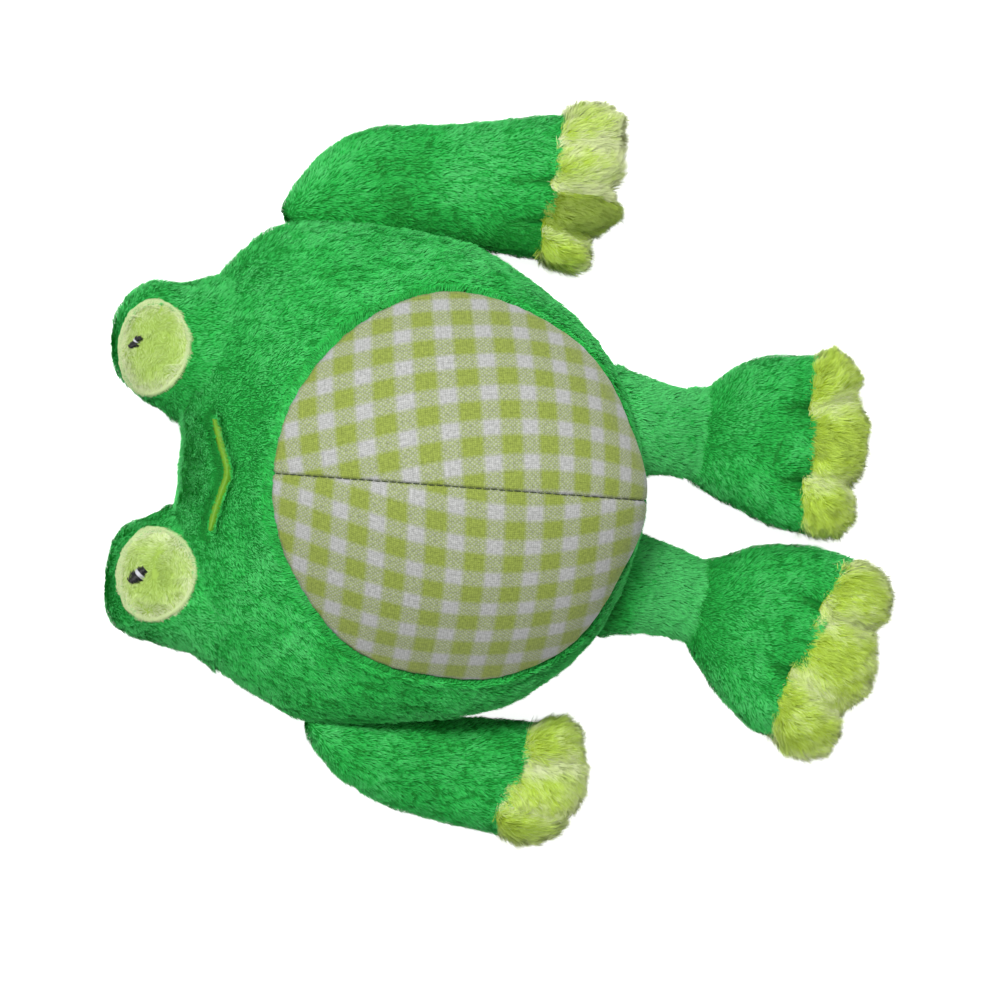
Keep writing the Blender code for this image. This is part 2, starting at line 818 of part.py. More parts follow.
def lobe_half(side, x):
    """Half width and half depth of the eye lobe at this place along the frog."""
    share = (x + EYE_TIP[side]) / EYE_LOBE_LENGTH
    table = ((0.0, 0.0, 0.0),) + EYE_LOBE_SHARES
    for (a, wa, da), (b, wb, db) in zip(table, table[1:]):
        if share <= b:
            part = max(0, (share - a) / (b - a))
            if a == 0:
                part = part**0.5
            width = wa + (wb - wa) * part
            thick = da + (db - da) * part
            return EYE_LOBE_HALF_WIDTH * width, EYE_LOBE_HALF_DEPTH * thick
    return EYE_LOBE_HALF_WIDTH * table[-1][1], EYE_LOBE_HALF_DEPTH * table[-1][2]


def lobe_rows(side, depth):
    tip = Vector((-EYE_TIP[side], SIDES[side] * EYE_SIDE[side], EYE_LOBE_HEIGHT))
    forward = Vector((1, 0, 0))
    across = Vector((0, 1, 0))
    rows = [[tip + forward * depth]]
    for share, width, thick in EYE_LOBE_SHARES:
        centre = tip + forward * max(EYE_LOBE_LENGTH * share, depth)
        if share == EYE_LOBE_SHARES[0][0]:
            centre += forward * (depth - max(0, depth - EYE_LOBE_LENGTH * share))
        half_width = EYE_LOBE_HALF_WIDTH * width
        half_depth = EYE_LOBE_HALF_DEPTH * thick
        rows.append(ring(centre, across, UP, half_width - depth, half_depth - depth, LIMB_SIDES))
    return rows


def lobe_top(side, x, y):
    """Height of the eye lobe's front over this point."""
    half_width, half_depth = lobe_half(side, x)
    across = min(LOBE_TOP_SHARE, abs(y - SIDES[side] * EYE_SIDE[side]) / half_width)
    return EYE_LOBE_HEIGHT + half_depth * (1 - across**STUFFED_POWER) ** (1 / STUFFED_POWER)


def over_lobe(side, x, y, lift):
    """The point this far out from the eye lobe's front over (x, y)."""
    step = EYE_BORDER_RADIUS / BORDER_SIDES
    point = Vector((x, y, lobe_top(side, x, y)))
    slope_x = (lobe_top(side, x + step, y) - lobe_top(side, x - step, y)) / (2 * step)
    slope_y = (lobe_top(side, x, y + step) - lobe_top(side, x, y - step)) / (2 * step)
    return point + Vector((-slope_x, -slope_y, 1)).normalized() * lift


def head_cutter():
    """The whole body, a seam gap larger, which cuts the root of each eye lobe."""
    points, faces = closed_rings(body_rows(-SEAM_GAP))
    cutter = add_node("head_cutter", points, faces, green_plush())
    cutter.hide_render = True
    cutter.display_type = "WIRE"
    return cutter


def cut_by(obj, cutter):
    cut = obj.modifiers.new("head_cut", "BOOLEAN")
    cut.operation = "DIFFERENCE"
    cut.solver = "EXACT"
    cut.object = cutter


def eye_centre(side):
    return Vector(
        (
            -EYE_TIP[side] + EYE_DISC_SETBACK[side],
            SIDES[side] * (EYE_SIDE[side] - EYE_DISC_INSET),
            0,
        )
    )


def eye_patch(side, centre, half_sizes, lift, rings, spokes):
    """Rows of points from the middle of an oval patch on the eye lobe to its edge, at this lift over it."""
    half_length, half_width = half_sizes
    rows = []
    for i in range(rings + 1):
        share = i / rings
        row = []
        for k in range(spokes if i else 1):
            turn = math.tau * k / spokes
            x = centre.x + half_length * share * math.cos(turn)
            y = centre.y + half_width * share * math.sin(turn)
            row.append(over_lobe(side, x, y, lift))
        rows.append(row)
    return rows


def make_eye(side, cutter):
    outer = lobe_rows(side, 0)
    inner = lobe_rows(side, COVER_THICKNESS)
    cover = tube_shell(f"eye_cover_{side}", outer, inner, green_plush())
    cut_by(cover, cutter)
    stuffing = add_stuffing(f"eye_stuffing_{side}", lobe_rows(side, COVER_THICKNESS + STUFFING_GAP))
    cut_by(stuffing, cutter)
    disc = (EYE_DISC_HALF_LENGTH, EYE_DISC_HALF_WIDTH)
    centre = eye_centre(side)
    low = eye_patch(side, centre, disc, DISC_LIFT, EYE_DISC_RINGS, EYE_SPOKES)
    top = eye_patch(side, centre, disc, DISC_LIFT + EYE_DISC_THICKNESS, EYE_DISC_RINGS, EYE_SPOKES)
    grid_shell(f"eye_disc_{side}", top, low, True, lime_plush())
    dot = (PUPIL_HALF_LENGTH, PUPIL_HALF_WIDTH)
    pupil = centre - Vector((PUPIL_OFFSET, 0, 0))
    lift = DISC_LIFT + EYE_DISC_THICKNESS + SEAM_GAP
    low = eye_patch(side, pupil, dot, lift, 1, EYE_SPOKES // 2)
    top = eye_patch(side, pupil, dot, lift + PUPIL_THICKNESS, 1, EYE_SPOKES // 2)
    grid_shell(f"pupil_{side}", top, low, True, material("black_stitch", STITCH_BLACK, STITCH_ROUGHNESS))
    make_eye_border(side, centre)


def make_eye_border(side, centre):
    """The raised satin stitch round the disc: a closed ring that follows the lobe."""
    radius = EYE_BORDER_RADIUS
    reach = radius + SEAM_GAP
    rows = []
    for k in range(EYE_SPOKES):
        turn = math.tau * k / EYE_SPOKES
        out = Vector((math.cos(turn), math.sin(turn), 0))
        x = centre.x + (EYE_DISC_HALF_LENGTH + reach) * out.x
        y = centre.y + (EYE_DISC_HALF_WIDTH + reach) * out.y
        base = over_lobe(side, x, y, radius + DISC_LIFT)
        row = []
        for i in range(BORDER_SIDES):
            angle = math.tau * (i + 0.5) / BORDER_SIDES
            row.append(base + out * radius * math.cos(angle) + UP * radius * math.sin(angle))
        rows.append(row)
    points = [p for row in rows for p in row]
    faces = []
    for k in range(EYE_SPOKES):
        here = k * BORDER_SIDES
        there = (k + 1) % EYE_SPOKES * BORDER_SIDES
        for i in range(BORDER_SIDES):
            j = (i + 1) % BORDER_SIDES
            faces.append([here + i, there + i, there + j, here + j])
    add_node(f"eye_border_{side}", points, faces, lime_stitch())


def make_mouth():
    """A satin-stitched line on the face: a shallow V whose middle points to the belly."""
    rows = []
    for i in range(MOUTH_STEPS + 1):
        share = 2 * i / MOUTH_STEPS - 1
        y = MOUTH_CENTRE + MOUTH_HALF_WIDTH * share
        x = -MOUTH_CORNER + MOUTH_DIP * (1 - abs(share) ** MOUTH_CURVE_POWER)
        row = []
        for dx, lift in ((-0.5, 0), (0.5, 0), (0.5, 1), (-0.5, 1)):
            px = x + MOUTH_STITCH_WIDTH * dx
            height = front_height(px, y) + SEAM_GAP + MOUTH_STITCH_THICKNESS * lift
            row.append(Vector((px, y, height)))
        rows.append(row)
    points = [p for row in rows for p in row]
    faces = [[0, 1, 2, 3], [4 * MOUTH_STEPS + i for i in (3, 2, 1, 0)]]
    for i in range(MOUTH_STEPS):
        for k in range(4):
            m = (k + 1) % 4
            faces.append([4 * i + k, 4 * i + m, 4 * (i + 1) + m, 4 * (i + 1) + k])
    add_node("mouth", points, faces, lime_stitch())


def main():
    empty_scene()
    make_front_panel()
    make_body_stuffing()
    make_mouth()
    cutter = head_cutter()
    for side in SIDES:
        make_belly_gore(side)
        make_back_panel(side)
        make_eye(side, cutter)
        make_arm(side)
        make_leg(side)
        make_foot(side)


main()
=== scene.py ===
# %% [markdown]
# # A plush frog on its back
#
# The frog is a stuffed toy of green plush with a tight belly in check cotton, lime eyes, a stitched mouth and
# shaggy lime hands and toes. The imported model gives the frame: its bodies carry what is made here, apart from
# the limbs' skins and pile. A fabric toy could be sculpted by hand, but its forms are easier to keep right as
# rings and loops measured in millimetres, so each skin here is a grid of points, and each pile is laid on such
# a grid.

import math

import bpy
import numpy as np
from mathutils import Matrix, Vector
from mathutils.bvhtree import BVHTree


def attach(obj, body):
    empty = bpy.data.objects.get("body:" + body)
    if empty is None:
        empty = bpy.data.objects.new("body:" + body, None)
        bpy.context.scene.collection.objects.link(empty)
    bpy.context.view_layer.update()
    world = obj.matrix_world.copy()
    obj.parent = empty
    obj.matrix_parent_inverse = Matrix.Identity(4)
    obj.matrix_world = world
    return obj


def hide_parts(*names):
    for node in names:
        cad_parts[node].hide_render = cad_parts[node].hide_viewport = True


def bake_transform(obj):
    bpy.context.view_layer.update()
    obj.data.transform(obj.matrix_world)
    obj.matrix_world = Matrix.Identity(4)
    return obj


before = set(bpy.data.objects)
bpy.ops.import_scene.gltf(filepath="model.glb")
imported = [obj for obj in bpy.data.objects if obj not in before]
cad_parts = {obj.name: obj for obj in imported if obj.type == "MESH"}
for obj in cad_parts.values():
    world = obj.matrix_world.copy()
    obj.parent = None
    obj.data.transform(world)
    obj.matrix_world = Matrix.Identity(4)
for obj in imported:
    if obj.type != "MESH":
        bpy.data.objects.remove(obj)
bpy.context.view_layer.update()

# %% [markdown]
# ## Grids, noise and meshes
#
# Every form is a surface: rows of points that run from one end to the other, with columns that run round. The
# rows could be built by modifiers, but arrays keep the pile's direction, which is the row direction, at hand.

# %% Shared tools
MM = 0.001
UP = np.array((0.0, 0.0, 1.0))


def unit(vectors):
    size = np.linalg.norm(vectors, axis=-1, keepdims=True)
    return vectors / np.maximum(size, 1e-9)


def hill(away, width):
    """1 where `away` is nothing, falling smoothly to 0 over a width."""
    return np.exp(-((away / width) ** 2))


def lengths_along(line):
    """The length from a line's start to each of its points."""
    return np.append(0, np.cumsum(np.linalg.norm(np.diff(line, axis=0), axis=1)))


def noise(points, scale, seed):
    """Smooth noise from -1 to 1. Scale is the size of its bumps in millimetres, one value or one per axis."""
    table = np.random.default_rng(seed).random((24, 24, 24))
    place = np.asarray(points) / np.asarray(scale) + 50
    cell = np.floor(place).astype(int)
    part = place - cell
    part = part * part * (3 - 2 * part)
    total = 0
    for corner in np.ndindex(2, 2, 2):
        weight = np.prod(np.where(np.array(corner), part, 1 - part), axis=-1)
        at = (cell + corner) % len(table)
        total = total + weight * table[at[..., 0], at[..., 1], at[..., 2]]
    return total * 2 - 1


def smooth_rows(table, count):
    """Evenly spaced rows of a smooth curve through a table's rows. Its first columns set the spacing."""
    table = np.array(table, float)
    last = len(table) - 1
    steps = np.linspace(0, 1, 12, endpoint=False)[:, None]
    rows = []
    for i in range(last):
        a, b, c, d = table[max(i - 1, 0)], table[i], table[i + 1], table[min(i + 2, last)]
        bend = 2 * a - 5 * b + 4 * c - d
        twist = 3 * b - a - 3 * c + d
        rows.append(b + ((c - a) * steps + bend * steps**2 + twist * steps**3) / 2)
    rows = np.vstack(rows + [table[-1:]])
    length = lengths_along(rows[:, :4])
    at = np.linspace(0, length[-1], count)
    return np.column_stack([np.interp(at, length, column) for column in rows.T])


class Surface:
    """A grid of points in millimetres: rows from one end to the other, columns round it."""

    def __init__(self, points, wraps, inside):
        self.points = points
        self.wraps = wraps
        self.inside = inside
        self.ahead = unit(np.gradient(points, axis=0))
        around = np.roll(points, -1, 1) - np.roll(points, 1, 1) if wraps else np.gradient(points, axis=1)
        self.around = unit(around)
        normals = unit(np.cross(self.around, self.ahead))
        if np.mean(np.sum(normals * (points - inside), axis=-1)) < 0:
            normals = -normals
        for row, near in ((0, 1), (-1, -2)):
            if np.ptp(points[row], axis=0).max() < 1e-6:
                normals[row] = unit(normals[near].mean(axis=0))
        self.normals = normals

    def moved(self, amount):
        """The surface pushed out along its normals by this much."""
        return Surface(self.points + self.normals * np.asarray(amount)[..., None], self.wraps, self.inside)

    def faces(self):
        rows, columns = self.points.shape[:2]
        index = np.arange(rows * columns).reshape(rows, columns)
        right = np.roll(index, -1, 1) if self.wraps else index[:, 1:]
        left = index if self.wraps else index[:, :-1]
        quads = np.stack([left[:-1], left[1:], right[1:], right[:-1]], axis=-1).reshape(-1, 4)
        a, b, c = (self.points.reshape(-1, 3)[quads[:, k]] for k in (0, 1, 3))
        out = np.sum(np.cross(b - a, c - a) * self.normals.reshape(-1, 3)[quads[:, 0]], axis=1)
        return quads if np.mean(out) > 0 else quads[:, ::-1]

    def at_rim(self, face):
        """Whether a face is in the first or last row, where a nearest point says nothing of in or out."""
        rows, columns = self.points.shape[:2]
        return face // (columns if self.wraps else columns - 1) in (0, rows - 2)

    def tree(self):
        return BVHTree.FromPolygons(self.points.reshape(-1, 3).tolist(), self.faces().tolist())


def add_mesh(name, points, quads, triangles=(), uv=None, uv_name="Cloth", normals=None):
    """An object from arrays in millimetres, with smooth shading."""
    points = np.asarray(points, float).reshape(-1, 3)
    quads = np.asarray(quads, int).reshape(-1, 4)
    triangles = np.asarray(triangles, int).reshape(-1, 3)
    mesh = bpy.data.meshes.new(name)
    mesh.vertices.add(len(points))
    mesh.vertices.foreach_set("co", (points * MM).astype(np.float32).ravel())
    corners = np.concatenate([quads.ravel(), triangles.ravel()])
    mesh.loops.add(len(corners))
    mesh.loops.foreach_set("vertex_index", corners.astype(np.int32))
    starts = np.concatenate([np.arange(len(quads)) * 4, len(quads) * 4 + np.arange(len(triangles)) * 3])
    mesh.polygons.add(len(starts))
    mesh.polygons.foreach_set("loop_start", starts.astype(np.int32))
    mesh.update(calc_edges=True)
    mesh.shade_smooth()
    if uv is not None:
        layer = mesh.uv_layers.new(name=uv_name)
        layer.data.foreach_set("uv", np.asarray(uv, np.float32).reshape(-1, 2)[corners].ravel())
    if normals is not None:
        mesh.normals_split_custom_set_from_vertices(np.asarray(normals, np.float32).reshape(-1, 3))
    obj = bpy.data.objects.new(name, mesh)
    bpy.context.scene.collection.objects.link(obj)
    return obj


# %% [markdown]
# ## Colours and finishes
#
# The plush, the cotton and the embroidery are all fabric, so they share a rough shader with a sheen. Pictures
# of cloth could colour them, but the weave and the pile follow simple rules that nodes and geometry carry at
# any distance. A strand's tone and its place from root to tip are in its own map, so one shader group colours
# all pile.

# %% Shaders
GREEN_TONES = ((0.001, 0.21, 0.011), (0.015, 0.50, 0.066), (0.09, 0.64, 0.165), (0.11, 0.64, 0.175))
LIME_TONES = ((0.20, 0.32, 0.010), (0.54, 0.77, 0.032), (0.84, 0.90, 0.56), (0.70, 0.82, 0.30))
EYE_TONES = ((0.34, 0.51, 0.08), (0.42, 0.62, 0.11), (0.74, 0.82, 0.50), (0.60, 0.72, 0.32))
COTTON_WHITE = (0.38, 0.385, 0.375)
COTTON_LIME = (0.225, 0.285, 0.05)


def new_material(name, roughness, sheen, tint):
    material = bpy.data.materials.new(name)
    material.use_nodes = True
    shader = material.node_tree.nodes["Principled BSDF"]
    shader.inputs["Roughness"].default_value = roughness
    shader.inputs["Sheen Weight"].default_value = sheen
    shader.inputs["Sheen Roughness"].default_value = 0.45
    shader.inputs["Sheen Tint"].default_value = (*tint, 1)
    shader.inputs["Specular IOR Level"].default_value = 0.25
    return material, material.node_tree, shader


def feed(tree, socket, value):
    """Give an input a number or a colour, or link it to an output."""
    if isinstance(value, bpy.types.NodeSocket):
        tree.links.new(value, socket)
    else:
        socket.default_value = value


def math_node(tree, operation, *values):
    node = tree.nodes.new("ShaderNodeMath")
    node.operation = operation
    for socket, value in zip(node.inputs, values):
        feed(tree, socket, value)
    return node.outputs[0]


def mix_node(tree, kind, factor, a, b):
    node = tree.nodes.new("ShaderNodeMix")
    node.data_type = kind
    for name, value in (("Factor", factor), ("A", a), ("B", b)):
        feed(tree, node.inputs[name], value)
    return node.outputs["Result"]


def range_node(tree, value, low, high, start=0, end=1):
    node = tree.nodes.new("ShaderNodeMapRange")
    names = ("Value", "From Min", "From Max", "To Min", "To Max")
    for name, number in zip(names, (value, low, high, start, end)):
        feed(tree, node.inputs[name], number)
    return node.outputs["Result"]


def noise_node(tree, scale, place=None):
    node = tree.nodes.new("ShaderNodeTexNoise")
    node.inputs["Scale"].default_value = scale
    if place is not None:
        tree.links.new(place, node.inputs["Vector"])
    return node.outputs["Fac"]


def scaled(tree, colour, amount):
    node = tree.nodes.new("ShaderNodeVectorMath")
    node.operation = "SCALE"
    feed(tree, node.inputs[0], colour)
    feed(tree, node.inputs["Scale"], amount)
    return node.outputs[0]


def map_axes(tree, name):
    """The place on a mesh's own map, and its two parts."""
    place = tree.nodes.new("ShaderNodeUVMap")
    place.uv_map = name
    split = tree.nodes.new("ShaderNodeSeparateXYZ")
    tree.links.new(place.outputs["UV"], split.inputs[0])
    return place.outputs["UV"], split.outputs["X"], split.outputs["Y"]


def group_node(tree, group, names, colours):
    """A node that holds a group, with its colours set."""
    node = tree.nodes.new("ShaderNodeGroup")
    node.node_tree = group
    for name, colour in zip(names, colours):
        node.inputs[name].default_value = (*colour, 1)
    return node.outputs


STRAND_TONES = ("Dark", "Middle", "Light", "Tip")


def strand_group():
    """A group that colours a strand by its map: its tone along X, its place from root to tip along Y."""
    group = bpy.data.node_groups.new("StrandTone", "ShaderNodeTree")
    for name in STRAND_TONES:
        group.interface.new_socket(name, in_out="INPUT", socket_type="NodeSocketColor")
    group.interface.new_socket("Colour", in_out="OUTPUT", socket_type="NodeSocketColor")
    given = group.nodes.new("NodeGroupInput").outputs
    result = group.nodes.new("NodeGroupOutput").inputs
    _, tone, along = map_axes(group, "OFBake")
    colour = mix_node(group, "RGBA", range_node(group, tone, 0.0, 0.5), given["Dark"], given["Middle"])
    colour = mix_node(group, "RGBA", range_node(group, tone, 0.5, 1.0), colour, given["Light"])
    colour = mix_node(group, "RGBA", range_node(group, along, 0.3, 1.0, 0, 0.35), colour, given["Tip"])
    # The root end is darker: painted shade deep in the pile.
    colour = scaled(group, colour, range_node(group, along, 0.0, 0.8, 0.62, 1.05))
    group.links.new(colour, result["Colour"])
    return group


STRANDS = strand_group()


def strand_material(name, tones, sheen):
    material, tree, shader = new_material(name, 0.72, sheen, tones[2])
    shader.inputs["Specular IOR Level"].default_value = 0.12
    strand = group_node(tree, STRANDS, STRAND_TONES, tones)
    tree.links.new(strand["Colour"], shader.inputs["Base Color"])
    return material


def ground_material(name, tones, shade=0.6):
    """The backing under a pile: the pile's darker tones, dimmed as painted shade under the pile, in soft
    blotches.
    """
    material, tree, shader = new_material(name, 0.9, 0.3, tones[1])
    dark, middle = ((*(shade * value for value in tone), 1) for tone in tones[:2])
    blotches = noise_node(tree, 900)
    tree.links.new(mix_node(tree, "RGBA", blotches, dark, middle), shader.inputs["Base Color"])
    return material


THREADS_PER_REPEAT = 18
WOBBLE = 0.05
BAND_EDGE = (0.215, 0.325)
HALF_TONE_POWER = 0.6
PICK_SHARE = 0.35
DARKEST_SLUB = 0.35
THREAD_SHADE = 0.30


def check_group():
    """A group that weaves a check from the cloth's map: the colour and the thread's height."""
    group = bpy.data.node_groups.new("WovenCheck", "ShaderNodeTree")
    group.interface.new_socket("White", in_out="INPUT", socket_type="NodeSocketColor")
    group.interface.new_socket("Lime", in_out="INPUT", socket_type="NodeSocketColor")
    group.interface.new_socket("Colour", in_out="OUTPUT", socket_type="NodeSocketColor")
    group.interface.new_socket("Height", in_out="OUTPUT", socket_type="NodeSocketFloat")
    given = group.nodes.new("NodeGroupInput").outputs
    result = group.nodes.new("NodeGroupOutput").inputs
    place, *axes = map_axes(group, "Cloth")
    sway = noise_node(group, 7, place)
    slubs = noise_node(group, THREADS_PER_REPEAT * 0.7, place)
    bands = []
    cells = []
    rounds = []
    for axis in axes:
        at = math_node(group, "ADD", axis, math_node(group, "MULTIPLY", sway, WOBBLE))
        share = math_node(group, "FRACT", math_node(group, "ADD", at, 0.5))
        away = math_node(group, "ABSOLUTE", math_node(group, "SUBTRACT", share, 0.5))
        bands.append(range_node(group, away, *BAND_EDGE, 1, 0))
        threads = math_node(group, "MULTIPLY", at, THREADS_PER_REPEAT)
        cells.append(math_node(group, "FLOOR", threads))
        wave = math_node(group, "SINE", math_node(group, "MULTIPLY", threads, math.pi))
        rounds.append(math_node(group, "ABSOLUTE", wave))
    crossing = math_node(group, "ABSOLUTE", math_node(group, "ADD", *cells))
    pick = mix_node(group, "FLOAT", math_node(group, "MODULO", crossing, 2), *bands)
    both = math_node(group, "MULTIPLY", math_node(group, "ADD", *bands), 0.5)
    both = math_node(group, "POWER", both, HALF_TONE_POWER)
    lime = mix_node(group, "FLOAT", PICK_SHARE, both, pick)
    colour = mix_node(group, "RGBA", lime, given["White"], given["Lime"])
    height = math_node(group, "MULTIPLY", *rounds)
    group.links.new(height, result["Height"])
    shade = math_node(group, "ADD", slubs, DARKEST_SLUB)
    # The threads' crowns are lighter than the hollows between them: painted shade, on top of the bump.
    shade = math_node(group, "ADD", shade, math_node(group, "MULTIPLY", height, THREAD_SHADE))
    group.links.new(scaled(group, colour, shade), result["Colour"])
    return group


def cotton_material():
    material, tree, shader = new_material("check_cotton", 0.85, 0.15, (1, 1, 1))
    cloth = group_node(tree, check_group(), ("White", "Lime"), (COTTON_WHITE, COTTON_LIME))
    tree.links.new(cloth["Colour"], shader.inputs["Base Color"])
    bump = tree.nodes.new("ShaderNodeBump")
    bump.inputs["Strength"].default_value = 0.25
    bump.inputs["Distance"].default_value = 0.0002
    tree.links.new(cloth["Height"], bump.inputs["Height"])
    tree.links.new(bump.outputs["Normal"], shader.inputs["Normal"])
    return material


def thread_material(name, colour, roughness=0.42):
    material, tree, shader = new_material(name, roughness, 0.25, colour)
    shader.inputs["Base Color"].default_value = (*colour, 1)
    shader.inputs["Specular IOR Level"].default_value = 0.5
    return material


GREEN_PILE = strand_material("green_pile", GREEN_TONES, 0.2)
LIME_PILE = strand_material("lime_pile", LIME_TONES, 0.3)
EYE_PILE = strand_material("eye_pile", EYE_TONES, 0.3)
GREEN_GROUND = ground_material("green_ground", GREEN_TONES)
LIME_GROUND = ground_material("lime_ground", LIME_TONES)
EYE_GROUND = ground_material("eye_ground", EYE_TONES, 0.8)
COTTON = cotton_material()
LIME_THREAD = thread_material("lime_thread", (0.14, 0.33, 0.010))
EYE_THREAD = thread_material("eye_thread", (0.58, 0.70, 0.34), 0.6)
BLACK_THREAD = thread_material("black_thread", (0.008, 0.008, 0.009), 0.35)
GREY_THREAD = thread_material("grey_thread", (0.55, 0.56, 0.60))
SEAM_THREAD = thread_material("seam_thread", (0.030, 0.042, 0.016), 0.8)

# %% [markdown]
# ## Pile
#
# A pile could be hair, but hair is not geometry that travels with a part. Here each strand is a narrow bent
# blade from root to tip, laid along the skin's rows and lifted at the root. Neighbours share a tone, and thin
# furrows with painted shade in them run between the locks, so the dark dashes and brushed patches of plush
# appear.


# %% Lay the strands
def scatter(surface, count, seed, keep=None):
    """Random points spread evenly over a surface, with its normal and directions there."""
    rng = np.random.default_rng(seed)
    corner = surface.points
    right = np.roll(corner, -1, 1)
    if not surface.wraps:
        right = right[:, :-1]
    left = corner if surface.wraps else corner[:, :-1]
    size = np.linalg.norm(np.cross(left[1:] - left[:-1], right[:-1] - left[:-1]), axis=-1)
    if keep is not None:
        size = size * keep[: size.shape[0], : size.shape[1]]
    share = np.cumsum(size.ravel()) / size.sum()
    cell = np.minimum(np.searchsorted(share, rng.random(count)), size.size - 1)
    row, column = np.divmod(cell, size.shape[1])
    following = (column + 1) % corner.shape[1]
    s, t = rng.random((2, count, 1))

    def blend(values):
        low = values[row, column] * (1 - t) + values[row, following] * t
        high = values[row + 1, column] * (1 - t) + values[row + 1, following] * t
        return low * (1 - s) + high * s

    return {
        "at": blend(corner),
        "normal": unit(blend(surface.normals)),
        "ahead": unit(blend(surface.ahead)),
        "around": unit(blend(surface.around)),
        "share": (row + s[:, 0]) / (corner.shape[0] - 1),
        "turn": (column + t[:, 0]) / corner.shape[1],
        "rng": rng,
    }


STEEP_LIFT = 0.6
LOWEST_STRAND = 0.06


def lay(name, spots, flow, length, width, lift, tone, finish, bend=0.5, to=None, parts=2, curl=0.0):
    """Strands at the spots: flow is their direction, lift their angle at the root, tone their colour."""
    rng = spots["rng"]
    at, normal = spots["at"], spots["normal"]
    count = len(at)
    flow = unit(flow - np.sum(flow * normal, axis=1, keepdims=True) * normal)
    length = (np.broadcast_to(length, count) * rng.uniform(0.75, 1.2, count))[:, None]
    lift = (np.broadcast_to(lift, count) + rng.normal(0, 0.12, count))[:, None]
    sway = curl * rng.normal(0, 1, (count, 1)) * np.cross(flow, normal)
    spine = [at]
    for k in range(parts):
        angle = lift * (1 - bend * k / max(parts - 1, 1))
        heading = unit(np.cos(angle) * (flow + sway * k) + np.sin(angle) * normal)
        spine.append(spine[-1] + length / parts * heading)
    spine = np.stack(spine, axis=1)
    if to is not None:
        pull, target = to
        share = np.linspace(0, 1, parts + 1)[None, :, None] ** 1.6
        spine = spine + (target - spine[:, -1])[:, None] * pull[:, None, None] * share
    across = unit(np.cross(spine[:, -1] - at, normal))
    roll = rng.uniform(-0.6, 0.6, count)[:, None]
    across = unit(across * np.cos(roll) + normal * np.sin(roll))
    half = across * np.broadcast_to(width, count)[:, None] / 2 * rng.uniform(0.7, 1.3, (count, 1))
    spine[:, 0] -= normal * 0.2
    points = []
    for k in range(parts):
        taper = 1 - 0.3 * k / parts
        points += [spine[:, k] - half * taper, spine[:, k] + half * taper]
    points = np.stack(points + [spine[:, -1]], axis=1)
    points[..., 2] = np.maximum(points[..., 2], LOWEST_STRAND)
    size = 2 * parts + 1
    base = np.arange(count)[:, None] * size
    quads = np.concatenate([base + 2 * k + np.array((0, 1, 3, 2)) for k in range(parts - 1)])
    steep = 1 - np.abs(normal[:, 2:])
    shaded = normal + 0.14 * rng.normal(0, 1, (count, 3)) - 0.4 * flow * (1 - steep) ** 3
    shaded = unit(shaded + STEEP_LIFT * steep * UP)
    tone = np.clip(tone + rng.normal(0, 0.1, count), 0.01, 0.99)
    along = np.append(np.repeat(np.arange(parts) / parts, 2), 1.0) * 0.96 + 0.02
    side = np.append(np.tile((-0.005, 0.005), parts), 0.0)
    uv = np.stack([tone[:, None] + side, np.broadcast_to(along, (count, size))], axis=-1)
    obj = add_mesh(
        name, points, quads, base + np.array((size - 3, size - 2, size - 1)), uv, "OFBake",
        np.repeat(shaded[:, None], size, axis=1),
    )
    obj.data.materials.append(finish)
    print(f"{name}: {count} strands, {len(obj.data.polygons)} faces")
    return obj


SPARSE = 1.0


def furrows(at, flow, seed):
    """Thin gaps between the locks of the pile, from 0 to 1. They run along the flow."""
    side = unit(np.cross(flow, UP))
    local = np.stack([np.sum(at * flow, 1), np.sum(at * side, 1), at[:, 2]], axis=1)
    return hill(noise(local, (4.0, 1.1, 1.8), seed), 0.14)


def patches(at, seed):
    """Tone of the brushed patches, broad and small."""
    return 0.12 * noise(at, 4, seed + 3) + 0.20 * noise(at, 9, seed + 1) + 0.26 * noise(at, 26, seed + 2)


def fuzz(
    surface,
    name,
    per_mm2,
    flow_of,
    seed,
    tone=0.0,
    length=1.9,
    width=0.27,
    lift=0.75,
    keep=None,
    finish=GREEN_PILE,
    cloud=1.0,
):
    """Short plush pile all over a surface, where it is kept."""
    left = surface.points[:-1, :-1]
    area = np.cross(surface.points[1:, :-1] - left, surface.points[:-1, 1:] - left)
    area = np.linalg.norm(area, axis=-1)
    if keep is not None:
        area = area * keep[: area.shape[0], : area.shape[1]]
    count = int(area.sum() * per_mm2 * SPARSE)
    spots = scatter(surface, count, seed, keep)
    flow = unit(flow_of(spots))
    swing = 0.35 * noise(spots["at"], 12, seed + 5)[:, None]
    lock = noise(spots["at"], 2.3, seed + 7)
    lean = noise(spots["at"], 2.6, seed + 8)
    swing = swing + 0.5 * lock[:, None]
    gap = furrows(spots["at"], flow, seed)
    flow = unit(flow + swing * np.cross(flow, spots["normal"]))
    # Painted shade darkens the furrows and painted light lifts the leaning locks. Steep sides are painted
    # paler, a painted sheen. The patches are the pile's own brushed tone.
    shade = 0.62 - 0.5 * gap + 0.1 * lean + cloud * patches(spots["at"], seed)
    shade = shade + 0.3 * (1 - np.abs(spots["normal"][:, 2])) + (tone(spots) if callable(tone) else tone)
    length = length * (1 + 0.2 * lean - 0.35 * gap)
    return lay(name, spots, flow, length, width, lift + 0.25 * lean, shade, finish)


# %% [markdown]
# ## Body loops
#
# Seen from above the belly is nearly round and the body round it is wide at the flanks. Both are loops round
# the belly's centre, measured on the photograph. The front skin rises from the side seam to the belly's seam,
# and the back is one round form under it that lies flat where the frog rests.

